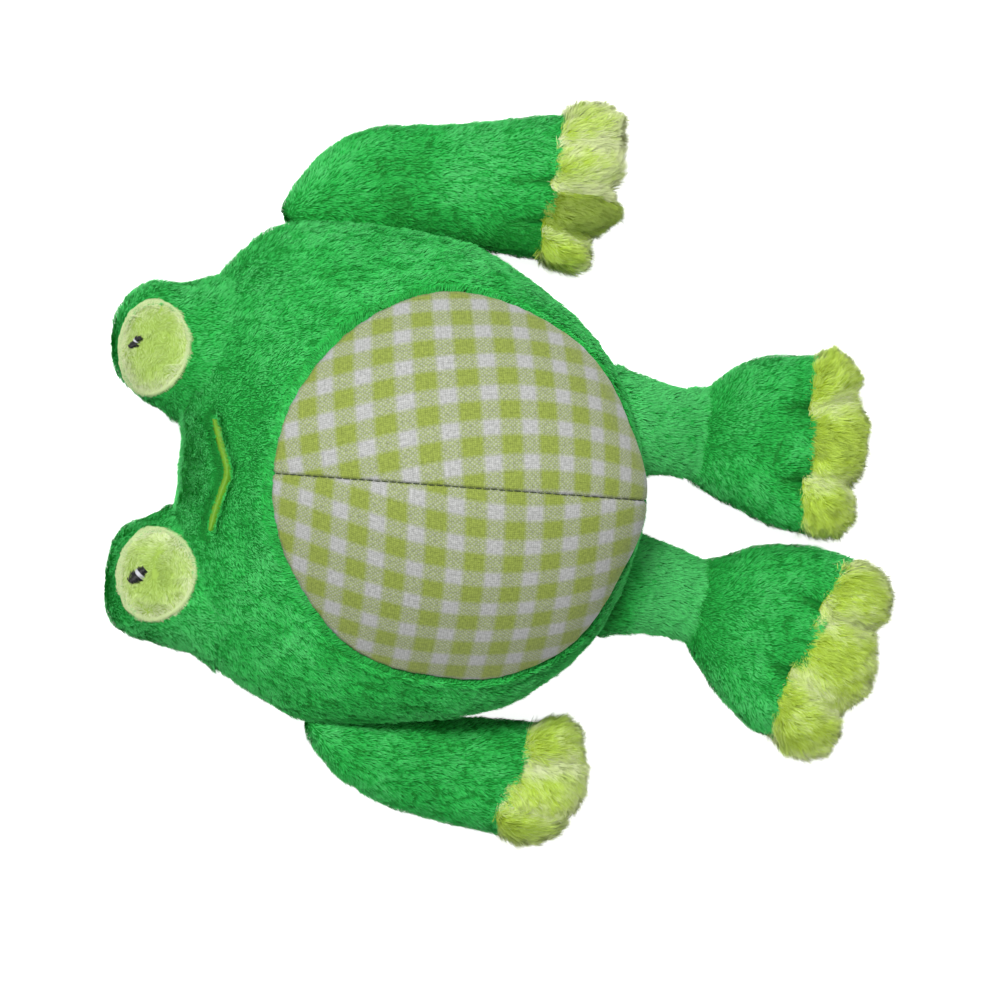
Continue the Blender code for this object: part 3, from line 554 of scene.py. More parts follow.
# %% Measured loops
BELLY_RADII = (59.3, 57.6, 60.3, 60.6, 63.4, 60.9, 58.5, 57.8, 58.3, 57.9, 61.5, 60.9, 62.7, 62.6, 58.2)
BODY_EDGE = (
    (60, 0), (57.5, 18), (51.5, 34), (45, 45.5), (35, 56), (25, 63), (15, 69.8), (2, 76.5), (-18, 80),
    (-40, 81), (-55, 81), (-66, 77.5), (-75, 68), (-82, 58), (-86, 40), (-87, 14), (-87.2, -10),
    (-86, -36), (-82, -55), (-75, -61.5), (-65, -67), (-55, -73), (-45, -78), (-30, -77.5), (-10, -75),
    (8, -72.5), (20, -69), (30, -62), (40, -53.8), (50, -41), (57.5, -20),
)


def loop(angles, known, radii, blur):
    """Radius of a closed loop at these angles, smoothed over `blur` degrees."""
    fine = np.radians(np.arange(720) / 2)
    order = np.argsort(known)
    values = np.interp(fine, known[order], radii[order], period=2 * math.pi)
    kernel = np.exp(-0.5 * (np.arange(-60, 61) / (2 * blur)) ** 2)
    values = np.convolve(np.concatenate([values[-60:], values, values[:60]]), kernel / kernel.sum(), "valid")
    return np.interp(angles, fine, values, period=2 * math.pi)


def belly_radius(angles):
    known = np.radians(np.arange(len(BELLY_RADII)) * 360 / len(BELLY_RADII))
    return loop(angles, known, np.array(BELLY_RADII), 5)


def body_radius(angles):
    edge = np.array(BODY_EDGE, float)
    known = np.arctan2(edge[:, 1], edge[:, 0]) % (2 * math.pi)
    return loop(angles, known, np.hypot(edge[:, 0], edge[:, 1]), 3)


def headward(angles):
    return (1 - np.cos(angles)) / 2


SIDE_SEAM_HEIGHT = 37
SIDE_SEAM_TILT = 8
BELLY_EDGE_HEIGHT = 57
CHIN_RISE = 23


def side_height(angles):
    return SIDE_SEAM_HEIGHT - SIDE_SEAM_TILT * np.cos(angles)


def belly_edge_height(angles):
    return BELLY_EDGE_HEIGHT + CHIN_RISE * headward(angles) ** 3


def polar(radius, angles, height):
    return np.stack([radius * np.cos(angles), radius * np.sin(angles), height], axis=-1)


MIDDLE = np.array((-5.0, 0.0, 38.0))
FRONT_START = math.radians(38)
FRONT_ROWS = 70
FRONT_COLUMNS = 288
BACK_ROWS = 60
BACK_COLUMNS = 120
BACK_POWER = 2.2
REST_CUT = 0.5


def front_grid(rows, columns):
    angles = np.linspace(0, 2 * math.pi, columns, endpoint=False)[None, :]
    share = np.linspace(0, 1, rows)[:, None] ** 1.1
    turn = FRONT_START + (math.pi / 2 - FRONT_START) * share
    inner, outer = belly_radius(angles), body_radius(angles)
    out = (np.sin(turn) - math.sin(FRONT_START)) / (1 - math.sin(FRONT_START))
    radius = inner + (outer - inner) * out
    low = side_height(angles)
    height = low + (belly_edge_height(angles) - low) * np.cos(turn) / math.cos(FRONT_START)
    return polar(radius, angles, height)


def back_grid(rows, columns, side):
    angles = side * np.linspace(0, math.pi, columns)[None, :]
    share = np.linspace(1, 0, rows)[:, None] * math.pi / 2
    radius = body_radius(angles) * np.sin(share)
    rise = 1 - (1 - np.sin(share) ** BACK_POWER) ** (1 / BACK_POWER)
    height = np.maximum((side_height(angles) + REST_CUT) * rise - REST_CUT, 0)
    return polar(radius, angles, height)


MOUTH_LINE = ((-76.6, 15.6), (-73.9, 7.7), (-71.2, -0.4), (-72.3, -6.0), (-74.2, -12.7), (-75.4, -19.2))


def mouth_distance(points):
    """Distance in plan from the mouth's line, and the side of it: positive towards the head."""
    fine = smooth_rows(MOUTH_LINE, 60)
    away = points[..., None, :2] - fine
    size = np.linalg.norm(away, axis=-1)
    near = np.argmin(size, axis=-1)
    return np.min(size, axis=-1), np.take_along_axis(-away[..., 0], near[..., None], -1)[..., 0]


def make_front():
    surface = Surface(front_grid(FRONT_ROWS, FRONT_COLUMNS), True, MIDDLE)
    points = surface.points
    rim = np.linspace(0, 1, FRONT_ROWS)[:, None]
    lumps = 0.5 * noise(points, 15, 11) + 0.22 * noise(points, 6, 12)
    away, _ = mouth_distance(points)
    crease = 1.3 * hill(away, 1.8)
    roll = 1.0 * hill(rim, 0.02) - 0.6 * hill(rim - 0.09, 0.05)
    side = 0.4 * hill(1 - rim, 0.03)
    return surface.moved(lumps - 0.6 - crease - roll - side)


def make_back(side):
    grid = back_grid(BACK_ROWS, BACK_COLUMNS, side)
    surface = Surface(grid, False, MIDDLE)
    edge = np.linspace(1, 0, BACK_ROWS)[:, None]
    seam = 1.0 * hill(grid[..., 1], 1.6) + 0.4 * hill(1 - edge, 0.02)
    high = np.clip(grid[..., 2] / 6, 0, 1)
    moved = surface.moved((0.4 * noise(grid, 15, 21) - 0.6 - seam) * high)
    moved.points[..., 1] = side * np.maximum(side * moved.points[..., 1], 0.02)
    return moved


def fuse(surface, others, reach):
    """Swell the crease where a surface meets others, and report how far inside them each point lies."""
    points = surface.points.reshape(-1, 3)
    normals = surface.normals.reshape(-1, 3)
    moved = points.copy()
    depth = np.full(len(points), -reach)
    others = list(others)
    trees = [other.tree() for other in others]
    for tree in trees:
        for i, point in enumerate(points):
            hit, normal, _, size = tree.find_nearest(Vector(point), reach)
            if hit is None:
                continue
            normal = np.array(normal)
            near = max(1 - size / reach, 0)
            facing = min(max((0.95 - np.dot(normals[i], normal)) / 0.5, 0), 1)
            heading = normals[i] * (1 - near / 2) + normal * near / 2
            moved[i] += heading / max(np.linalg.norm(heading), 1e-6) * near**2 * facing * reach / 4
    shift = (moved - points).reshape(surface.points.shape)
    for _ in range(4):
        shift = shift / 2 + (np.roll(shift, 1, 1) + np.roll(shift, -1, 1)) / 4
        shift[1:-1] = shift[1:-1] / 2 + (shift[:-2] + shift[2:]) / 4
    moved = points + shift.reshape(-1, 3)
    for other, tree in zip(others, trees):
        for i, point in enumerate(moved):
            hit, normal, face, size = tree.find_nearest(Vector(point), reach)
            if hit is None or other.at_rim(face):
                continue
            inside = size * math.copysign(1, np.dot(np.array(normal), np.array(hit) - point))
            depth[i] = max(depth[i], inside)
    shape = surface.points.shape
    return Surface(moved.reshape(shape), surface.wraps, surface.inside), depth.reshape(shape[:2])


def skin(surface, name, finish, body, replaced=()):
    obj = add_mesh(name, surface.points, surface.faces())
    obj.data.materials.append(finish)
    if replaced:
        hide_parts(*replaced)
    if body:
        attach(obj, body)
    return obj


INSET = 0.6
LOWEST_SKIN = 0.3


def tube(stations, rows, columns, power, lumps, seed, flat=True):
    """A stuffed tube. A station is (x, y) of one edge, (x, y) of the other, middle height, half thickness."""
    path = smooth_rows(stations, rows)
    one, other = path[:, :2], path[:, 2:4]
    middle = (one + other) / 2
    half = (other - one) / 2
    turn = np.linspace(0, 2 * math.pi, columns, endpoint=False)
    across = np.sign(np.cos(turn)) * np.abs(np.cos(turn)) ** (2 / power)
    rise = np.sign(np.sin(turn)) * np.abs(np.sin(turn)) ** (2 / power)
    size = np.linalg.norm(half, axis=1, keepdims=True)
    half = half * np.maximum(size - INSET, 0.02) / np.maximum(size, 1e-6)
    thick = np.maximum(path[:, 5] - INSET, 0.02)
    points = np.zeros((rows, columns, 3))
    points[..., :2] = middle[:, None] + half[:, None] * across[None, :, None]
    points[..., 2] = path[:, 4][:, None] + thick[:, None] * rise[None, :]
    surface = Surface(points, True, points.mean(axis=(0, 1)))
    surface = surface.moved(lumps * (noise(points, 12, seed) + 0.5 * noise(points, 5, seed + 1)))
    if flat:
        surface.points[..., 2] = np.maximum(surface.points[..., 2], LOWEST_SKIN)
    return surface


EYE_STATIONS = {
    "left": (
        (-74, 12, -74, 63.5, 43, 20),
        (-84, 16, -84, 59.2, 43.5, 19),
        (-90, 17.6, -90, 58.1, 44, 17.8),
        (-95, 18.2, -95, 58.5, 44, 16.8),
        (-100, 20.0, -100, 58.3, 44, 15.3),
        (-105, 23.4, -105, 56, 44, 12.8),
        (-109, 27.3, -109, 51.6, 44, 9),
        (-111.3, 32.5, -111.3, 46, 44, 5),
        (-112, 38.8, -112, 39.2, 44, 0.1),
    ),
    "right": (
        (-72, -64, -72, -10, 43, 20),
        (-81, -58.2, -81, -14, 43.5, 19),
        (-87, -56.8, -87, -15.3, 44, 17.8),
        (-92, -56.5, -92, -15.8, 44, 16.8),
        (-97, -55.6, -97, -16.5, 44, 15.3),
        (-102, -53.6, -102, -18.6, 44, 12.8),
        (-105.6, -50.6, -105.6, -22, 44, 9),
        (-107.8, -45, -107.8, -28, 44, 5),
        (-108.5, -37, -108.5, -36.6, 44, 0.1),
    ),
}
SIGN = {"left": 1, "right": -1}
FILLET = 11.0
BURIED = 2.5
LOBES = {side: tube(EYE_STATIONS[side], 60, 96, 2.15, 0.3, 41, False) for side in SIGN}
BACKS = {side: make_back(SIGN[side]) for side in SIGN}
FRONT, FRONT_DEPTH = fuse(make_front(), LOBES.values(), FILLET)
HEAD = {}
for side in SIGN:
    HEAD[side] = fuse(LOBES[side], (FRONT, *BACKS.values()), FILLET)
for side in SIGN:
    BACKS[side], depth = fuse(BACKS[side], LOBES.values(), FILLET)
    skin(BACKS[side], f"back_{side}", GREEN_GROUND, "body", (f"back_panel_{side}",))
    clear = (BACKS[side].points[..., 2] > 1.2) & (depth < BURIED)
    piece = fuzz(
        BACKS[side],
        f"back_pile_{side}",
        4.2,
        lambda spots: np.array((1.0, 0.0, 0.0)) - 0.3 * spots["ahead"],
        120 + SIGN[side],
        width=0.38,
        lift=0.5,
        keep=clear.astype(float),
    )
    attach(piece, "body")
skin(FRONT, "front_plush", GREEN_GROUND, "body", ("front_panel", "body_stuffing"))


def front_flow(spots):
    """The pile runs towards the feet and bends round the belly."""
    at = spots["at"]
    angle = np.arctan2(at[:, 1], at[:, 0])
    bend = np.abs(np.sin(angle))
    round_belly = np.stack([bend, -np.sign(angle) * np.cos(angle), 0 * angle], axis=1) * bend[:, None]
    near = np.exp(-spots["share"] / 0.35)[:, None] * 0.75
    straight = np.array((1.0, -0.12, 0.0)) + 0.0 * at
    outward = 0.45 * spots["ahead"] * (spots["share"][:, None] - 0.2)
    return straight * (1 - near) + round_belly * near + outward


def front_painted_shading(spots):
    """Painted shade in the mouth's crease, under the chin and at the belly's edge, and painted light on the
    brow.
    """
    at = spots["at"]
    chin_painted_shade = hill(at[:, 0] + 65, 4.5) * hill(at[:, 1], 24)
    away, side = mouth_distance(at)
    crease = hill(away - 2.9, 1.1) * (side > 0)
    brow_painted_light = 0.8 * hill(at[:, 0] + 85, 8) * hill(at[:, 1], 20)
    return brow_painted_light - 0.16 * chin_painted_shade - 0.9 * crease - 0.12 * np.exp(-spots["share"] / 0.06)


# The front's pile is made in sectors, so that no piece has too many faces.
SECTORS = 4
ring = np.floor(np.arange(FRONT_COLUMNS) / FRONT_COLUMNS * SECTORS)
for part in range(SECTORS):
    keep = (ring[None, :] == part) & (FRONT_DEPTH < BURIED)
    name = f"front_pile_{part + 1}"
    piece = fuzz(FRONT, name, 8.5, front_flow, 100 + part, front_painted_shading, keep=keep.astype(float))
    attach(piece, "body")
rim = np.zeros(FRONT.points.shape[:2])
rim[:4] = 1


def fringe_flow(spots):
    return spots["around"] * 0.5 - spots["ahead"]


# The fringe's lower tone is painted shade along the belly's seam.
piece = fuzz(FRONT, "belly_fringe", 10.0, fringe_flow, 140, -0.25, length=3.0, lift=0.85, keep=rim)
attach(piece, "body")

# %% [markdown]
# ## Belly
#
# Each gore of the belly is cut flat with a curved edge, so its check crosses the seam at an angle and bends
# over the dome. The map of the cloth gives the number of repeats along and across at every place. Each set
# of bands has a pitch in millimetres, a slant against the seam that relaxes at the rim, a bow, a fan and the
# amount that the cloth draws in.

# %% Make the gores
BELLY_TOP = 100.0
MAP_SIZE = 60.0
CLOTH = {
    "left": {
        "columns": dict(start=-0.51, pitch=12.9, draw=0.18, slant=0.13, relax=0.03, bow=0.41, fan=-0.52),
        "rows": dict(start=-0.01, pitch=11.9, draw=0.15, slant=-0.24, relax=0.08, bow=0.65, fan=0.32),
    },
    "right": {
        "columns": dict(start=0.42, pitch=12.2, draw=0.07, slant=-0.06, relax=0.11, bow=-0.08, fan=-0.13),
        "rows": dict(start=-0.04, pitch=11.4, draw=0.20, slant=-0.13, relax=0.08, bow=0.92, fan=0.28),
    },
}
RIDGE = 0.12


DOME_TURN = 48
DOME_TURN_GAIN = 54


def bulge(angles):
    return np.radians(DOME_TURN + DOME_TURN_GAIN * (1 - headward(angles)) ** 3)


def dome(angles, share):
    turn = bulge(angles)
    radius = belly_radius(angles) * np.sin(share * turn) / np.sin(turn)
    ridge = RIDGE * np.abs(np.sin(angles))
    drop = (1 - ridge) * (1 - np.cos(share * turn)) / (1 - np.cos(turn)) + ridge * share
    return polar(radius, angles, BELLY_TOP - (BELLY_TOP - belly_edge_height(angles)) * drop)


def bands(main, other, along, across, values):
    """Repeats of the check's bands, counted along `main`."""
    rim = along**2 + across**2
    straight = main * (1 + values["draw"] * rim) + other * (values["slant"] + values["relax"] * rim)
    curved = values["start"] + straight * MAP_SIZE / values["pitch"] + values["bow"] * along**2
    return curved + values["fan"] * along * across


def cloth_map(points, name):
    """Repeats of the check along and across at each point of a gore."""
    along, across = points[..., 0] / MAP_SIZE, np.abs(points[..., 1]) / MAP_SIZE
    columns = bands(along, across, along, across, CLOTH[name]["columns"])
    rows = bands(across, along, along, across, CLOTH[name]["rows"])
    return np.stack([columns, rows], axis=-1)


def make_gore(side):
    rows, columns = 100, 240
    t = np.linspace(0, 1, columns)
    angles = side * math.pi * (t - 0.11 * np.sin(2 * math.pi * t))[None, :]
    share = np.linspace(0, 1, rows)[:, None]
    grid = dome(angles, share)
    surface = Surface(grid, False, MIDDLE)
    away = np.abs(grid[..., 1])
    x = grid[..., 0]
    seam = 0.75 * hill(away, 0.5) + 0.35 * hill(away, 3.0)
    gather = 0.10 * np.sin(2 * math.pi * x / 3.6 + 2 * noise(grid, 9, 31)) * np.exp(-away / 2.2)
    rim = (1 - share) * 62
    edge = 1.3 * hill(rim, 1.4)
    pucker = 0.13 * np.sin(angles * 58 + 3 * noise(grid, 12, 32 + side)) * np.exp(-rim / 3.5)
    wave = 0.40 * noise(grid, 16, 33) + 0.10 * noise(grid, 6, 34)
    surface = surface.moved(wave + gather + pucker - seam - edge)
    surface.points[:, 0, 1] = 0
    surface.points[:, -1, 1] = 0
    name = "left" if side > 0 else "right"
    obj = add_mesh(f"belly_{name}", surface.points, surface.faces(), uv=cloth_map(grid, name))
    obj.data.materials.append(COTTON)
    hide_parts(f"belly_gore_{name}")
    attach(obj, "body")
    return surface


GORES = {side: make_gore(side) for side in (1, -1)}


# %% [markdown]
# ## Threads
#
# The belly's seam and the embroidery are made of single threads. Each thread is a thin tube along a few
# points, which keeps its own highlight, where a painted line would look flat.


# %% Make threads
THREAD_SIDES = 5


def add_threads(name, paths, radius, finish):
    """Tubes along many short paths, each an array of points, as one piece on the body."""
    points = []
    quads = []
    base = 0
    for path in paths:
        path = np.asarray(path, float)
        ahead = unit(np.gradient(path, axis=0))
        side = unit(np.cross(ahead, UP + 0.01))
        top = np.cross(side, ahead)
        turn = np.linspace(0, 2 * math.pi, THREAD_SIDES, endpoint=False)
        thin = np.sqrt(np.clip(np.sin(np.linspace(0.12, math.pi - 0.12, len(path))), 0, 1))[:, None, None]
        out = side[:, None] * np.cos(turn)[None, :, None] + top[:, None] * np.sin(turn)[None, :, None]
        points.append((path[:, None] + out * radius * thin).reshape(-1, 3))
        index = base + np.arange(len(path) * THREAD_SIDES).reshape(len(path), THREAD_SIDES)
        following = np.roll(index, -1, 1)
        quads.append(np.stack([index[:-1], index[1:], following[1:], following[:-1]], axis=-1).reshape(-1, 4))
        base += index.size
    obj = add_mesh(name, np.vstack(points), np.vstack(quads))
    obj.data.materials.append(finish)
    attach(obj, "body")
    print(f"{name}: {len(paths)} threads")
    return obj


def on_top(tree, x, y):
    """The point of a surface under (x, y), and its normal."""
    hit, normal, _, _ = tree.ray_cast(Vector((x, y, 200)), Vector((0, 0, -1)))
    if hit is None:
        hit, normal, _, _ = tree.find_nearest(Vector((x, y, 45)))
    return np.array(hit), np.array(normal)


SATIN_HEIGHT = 1.1


def satin(name, tree, line, half_widths, gap, radius, finish, slant, ragged):
    """Threads side by side across a line in plan, arched over it."""
    size = lengths_along(line)
    count = int(size[-1] / gap)
    at = np.linspace(0, size[-1], count)
    place = np.column_stack([np.interp(at, size, line[:, k]) for k in (0, 1)])
    width = np.interp(at, size, half_widths)
    ahead = unit(np.gradient(place, axis=0))
    across = np.stack([-ahead[:, 1], ahead[:, 0]], axis=1) + slant * ahead
    rng = np.random.default_rng(len(name))
    paths = []
    for spot, out, wide in zip(place, across, width):
        path = []
        reach = wide * rng.uniform(1 - ragged, 1 + ragged)
        for step in np.linspace(-1, 1, 7):
            x, y = spot + out * reach * step
            under, normal = on_top(tree, x, y)
            path.append(under + normal * (SATIN_HEIGHT * (1 - abs(step) ** 2.4) + 0.05))
        paths.append(path)
    return add_threads(name, paths, radius, finish)


SEAM_START = -58.5
SEAM_END = 57
STITCH_LENGTH = 2.2
STITCH_STEP = 2.4


def seam_paths():
    """Short stitches end to end in the groove between the gores."""
    paths = []
    tree = GORES[1].tree()
    rng = np.random.default_rng(71)
    at = SEAM_START
    while at < SEAM_END:
        x = np.linspace(at, at + STITCH_LENGTH, 5)
        spots = np.array([on_top(tree, value, 0.03)[0] for value in x])
        spots[:, 1] = 0.05 * rng.normal()
        paths.append(spots + UP * (0.22 + 0.08 * rng.random()))
        at += STITCH_STEP
    return paths


add_threads("belly_seam", seam_paths(), 0.2, SEAM_THREAD)
mouth = smooth_rows(MOUTH_LINE, 50)
widths = 1.4 * np.clip(np.sin(np.linspace(0.25, math.pi - 0.25, len(mouth))) * 2.2, 0, 1)
stitch = satin("mouth_stitches", FRONT.tree(), mouth, widths, 0.3, 0.19, LIME_THREAD, 0.35, 0.07)
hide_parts("mouth")

# %% [markdown]
# ## Eyes
#
# Each disc is lime plush laid on the lobe, with a border of short stitches whose threads sink into the pile.
# The pupil is a few slanted black stitches with pale ones between. The pile of the disc is brushed in swirls
# and is paler at its edge.

# %% Make the eyes
EYES = {
    "left": dict(disc=(-97.8, 36.8), half=(11.1, 14.4), pupil=(-103.4, 38.2), size=(2.4, 1.3), glint=0.12),
    "right": dict(disc=(-91.9, -34.4), half=(12.1, 14.2), pupil=(-97.4, -35.0), size=(3.1, 2.4), glint=0.3),
}


def oval(eye, scale, count=90):
    """A rounded egg, fuller towards the head."""
    turn = np.linspace(0, 2 * math.pi, count)
    x, y = np.cos(turn), np.sin(turn)
    squeeze = 1 + 0.03 * np.cos(3 * turn) + 0.015 * np.sin(2 * turn)
    reach = np.array(eye["half"]) * scale
    return eye["disc"] + reach * np.column_stack([x, y]) * squeeze[:, None]


DISC_LIFT = 0.9


def patch(tree, eye):
    """The disc's cloth, which lies on a lobe."""
    rows, columns = 16, 60
    points = np.zeros((rows, columns, 3))
    for i, share in enumerate(np.linspace(0.001, 1, rows)):
        for k, (x, y) in enumerate(oval(eye, share, columns + 1)[:-1]):
            under, normal = on_top(tree, x, y)
            points[i, k] = under + normal * DISC_LIFT * (1 - share**6)
    return Surface(points, True, points.mean(axis=(0, 1)) - UP * 10)


def along_limb(spots):
    return spots["ahead"]


def back_along_limb(spots):
    return -spots["ahead"]


def nap_flow(spots):
    """The nap is brushed down and outward, in swirls."""
    at = spots["at"]
    swirl = np.column_stack([noise(at, 5, 8), noise(at, 5, 9), 0 * at[:, 0]])
    return np.array((0.1, -0.6, 0.0)) + 0.35 * spots["ahead"] + 1.5 * swirl


PUPIL_GAP = 0.26


def make_pupil(side, tree):
    """Slanted threads side by side: black, with pale ones for the glint."""
    eye = EYES[side]
    x, y = eye["pupil"]
    wide, long = eye["size"]
    along = unit(np.array((1.0, -1.0)))
    across = np.array((-along[1], along[0]))
    rng = np.random.default_rng(len(side))
    dark = []
    pale = []
    count = int(2 * wide / PUPIL_GAP)
    for k in range(count):
        place = (k + 0.5) / count * 2 - 1
        reach = long * (1 - 0.45 * place**2) * rng.uniform(0.8, 1.15)
        start = np.array((x, y)) + across * place * wide + along * rng.normal(0, 0.2)
        glint = 0.05 < place < 0.05 + eye["glint"]
        path = []
        for step in np.linspace(-1, 1, 7):
            spot = start + along * reach * step * (0.8 if glint else 1)
            under, normal = on_top(tree, *spot)
            path.append(under + normal * (1.5 * (1 - abs(step) ** 2.4) + (0.25 if glint else 0.0)))
        (pale if glint else dark).append(path)
    stitches = add_threads(f"pupil_stitches_{side}", dark, 0.2, BLACK_THREAD)
    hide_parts(f"pupil_{side}")
    add_threads(f"pupil_glint_{side}", pale, 0.18, GREY_THREAD)


def make_eye(side):
    eye = EYES[side]
    lobe, depth = HEAD[side]
    covered = (f"eye_cover_{side}", f"eye_stuffing_{side}")
    skin(lobe, f"eye_lobe_{side}", GREEN_GROUND, "body", covered)
    tree = lobe.tree()
    plan = (lobe.points[..., :2] - eye["disc"]) / (np.array(eye["half"]) - 0.6)
    bare = (np.linalg.norm(plan, axis=-1) < 1) & (lobe.points[..., 2] > 46)
    keep = ((depth < BURIED) & ~bare).astype(float)
    pile = fuzz(lobe, f"eye_pile_{side}", 8.0, back_along_limb, 200 + len(side), keep=keep)
    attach(pile, "body")
    disc = patch(tree, eye)
    skin(disc, f"eye_disc_cloth_{side}", EYE_GROUND, "body", (f"eye_disc_{side}",))
    nap = fuzz(
        disc,
        f"eye_nap_{side}",
        20.0,
        nap_flow,
        210 + len(side),
        lambda spots: -0.2 + 0.68 * spots["share"] ** 3.5,
        length=1.7,
        width=0.2,
        lift=0.45,
        finish=EYE_PILE,
        cloud=0.4,
    )
    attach(nap, "body")
    ring = oval(eye, 0.985, 140)
    ring = ring + 0.18 * noise(np.column_stack([ring, 0 * ring[:, 0]]), 3, 77)[:, None]
    wide = 1 + 0.5 * noise(np.column_stack([ring, 0 * ring[:, 0]]), 2.4, 78)
    border = satin(f"eye_border_stitches_{side}", tree, ring, wide, 0.36, 0.15, EYE_THREAD, 0.5, 0.3)
    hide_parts(f"eye_border_{side}")
    make_pupil(side, disc.tree())


for side in SIGN:
    make_eye(side)

# %% [markdown]
# ## Arms, legs and feet
#
# Each arm tapers from the wrist to a narrow root. A leg leaves the body level with the side seam and sinks
# to the foot, which is pinched at the ankle and spreads to three toes. Darts pull in between the toes, and
# shallower ones at the left wrist. The lime ends are pads between a limb's last ring and a measured ragged
# edge, with a hollow between each tuft and the next.

# %% Make the limbs
ARM_STATIONS = {
    "left": (
        (-60.5, 82.0, -61.5, 83.5, 37, 3),
        (-58, 79, -60.8, 87.0, 37, 7.5),
        (-52, 77.5, -56.5, 95.6, 35.5, 10.3),
        (-42, 77.5, -47.6, 106.2, 31, 12),
        (-29, 77.5, -34.3, 113.6, 24.5, 13),
        (-12, 77.3, -15, 116.2, 17.5, 13.4),
        (3, 76.8, 2, 119.0, 14, 13.6),
        (14, 75.8, 15, 121.4, 13.2, 13.6),
        (22.9, 74.8, 26.2, 122.4, 13, 13.5),
    ),
    "right": (
        (-42.5, -77.0, -42, -78.5, 37, 2.5),
        (-41, -75.0, -41.5, -82, 37, 7),
        (-36, -74, -37.5, -88.2, 35, 10),
        (-26, -74, -30, -95.6, 30, 12),
        (-10, -74.0, -16, -103.2, 23.5, 13),
        (6, -74, -2, -107.2, 17, 13.4),
        (19, -73.8, 10, -109.8, 13.6, 13.6),
        (31.6, -74.2, 21, -111.2, 13, 13.5),
    ),
}
LEG_STATIONS = {
    "left": (
        (50, 5.5, 47, 43, 30, 15),
        (57, 7.6, 56, 40.0, 29, 13.5),
        (63, 8.8, 62.5, 38.4, 25, 12),
        (69, 9.0, 70, 37.2, 19.5, 11.2),
        (74, 8.2, 76, 37.3, 15, 10),
        (77, 7.2, 79.8, 38.2, 13.5, 9),
    ),
    "right": (
        (50, -6.5, 48, -44.5, 30, 15),
        (57, -10.2, 55.5, -42.7, 29, 13.5),
        (64.5, -12.2, 62.5, -42.2, 24.5, 12),
        (72, -14.2, 69.5, -42.6, 19, 11.2),
        (79, -17.0, 75.5, -43.6, 15, 10),
        (83, -18.0, 79.5, -45.2, 13.5, 9),
    ),
}
FOOT_STATIONS = {
    "left": (
        (74.5, 8.6, 77, 36.6, 13, 7.5),
        (77.5, 6.4, 80.5, 39.0, 13, 9.6),
        (84, 2.8, 86, 44.4, 13, 12),
        (91, -0.2, 92, 47.8, 13, 13.4),
        (99, -4.0, 98.5, 49.6, 13, 13.6),
        (106, -5.9, 105, 50.3, 13, 13.5),
        (112.8, -6.8, 113.0, 50.9, 13, 13.3),
    ),
    "right": (
        (80, -18.2, 77.5, -43.6, 13, 7.5),
        (83.5, -17.2, 79.5, -47.6, 13, 9.6),
        (91, -14.9, 84.6, -55.2, 13, 12),
        (100, -11.4, 90.4, -61.8, 13, 13.4),
        (110, -10.6, 96.6, -67.8, 13, 13.6),
        (119, -11.0, 101, -71.4, 13, 13.5),
        (129, -13.6, 107.2, -73.0, 13, 13.3),
    ),
}
FOOT_DARTS = {"left": (0.36, -0.40), "right": (-0.40, 0.27)}
ARM_DARTS = {"left": (0.05, -0.50), "right": ()}
FOOT_DART_START = 0.64
FOOT_DART_DEPTH = 4.4
ARM_DART_START = 0.82
ARM_DART_DEPTH = 3.0


def dart_shape(share, across, places, start):
    """How much a dart pulls in at a place on a limb. It begins at the start's share of the limb."""
    grow = np.clip((share - start) / (1 - start), 0, 1)
    lines = 0 * across + sum(hill(across - at, 0.055) for at in places)
    hollows = 0 * across + sum(hill(across - at, 0.2) for at in places)
    return grow * (0.8 * lines + 0.3 * hollows)


def with_darts(surface, places, depth, start):
    """The surface with its darts pulled in, and where pile grows on it: nowhere in the folds."""
    rows, columns = surface.points.shape[:2]
    share = np.linspace(0, 1, rows)[:, None]
    across = np.cos(np.linspace(0, 2 * math.pi, columns, endpoint=False))[None, :]
    pulled = dart_shape(share, across, places, start)
    return surface.moved(-depth * pulled), (pulled < 0.5).astype(float)


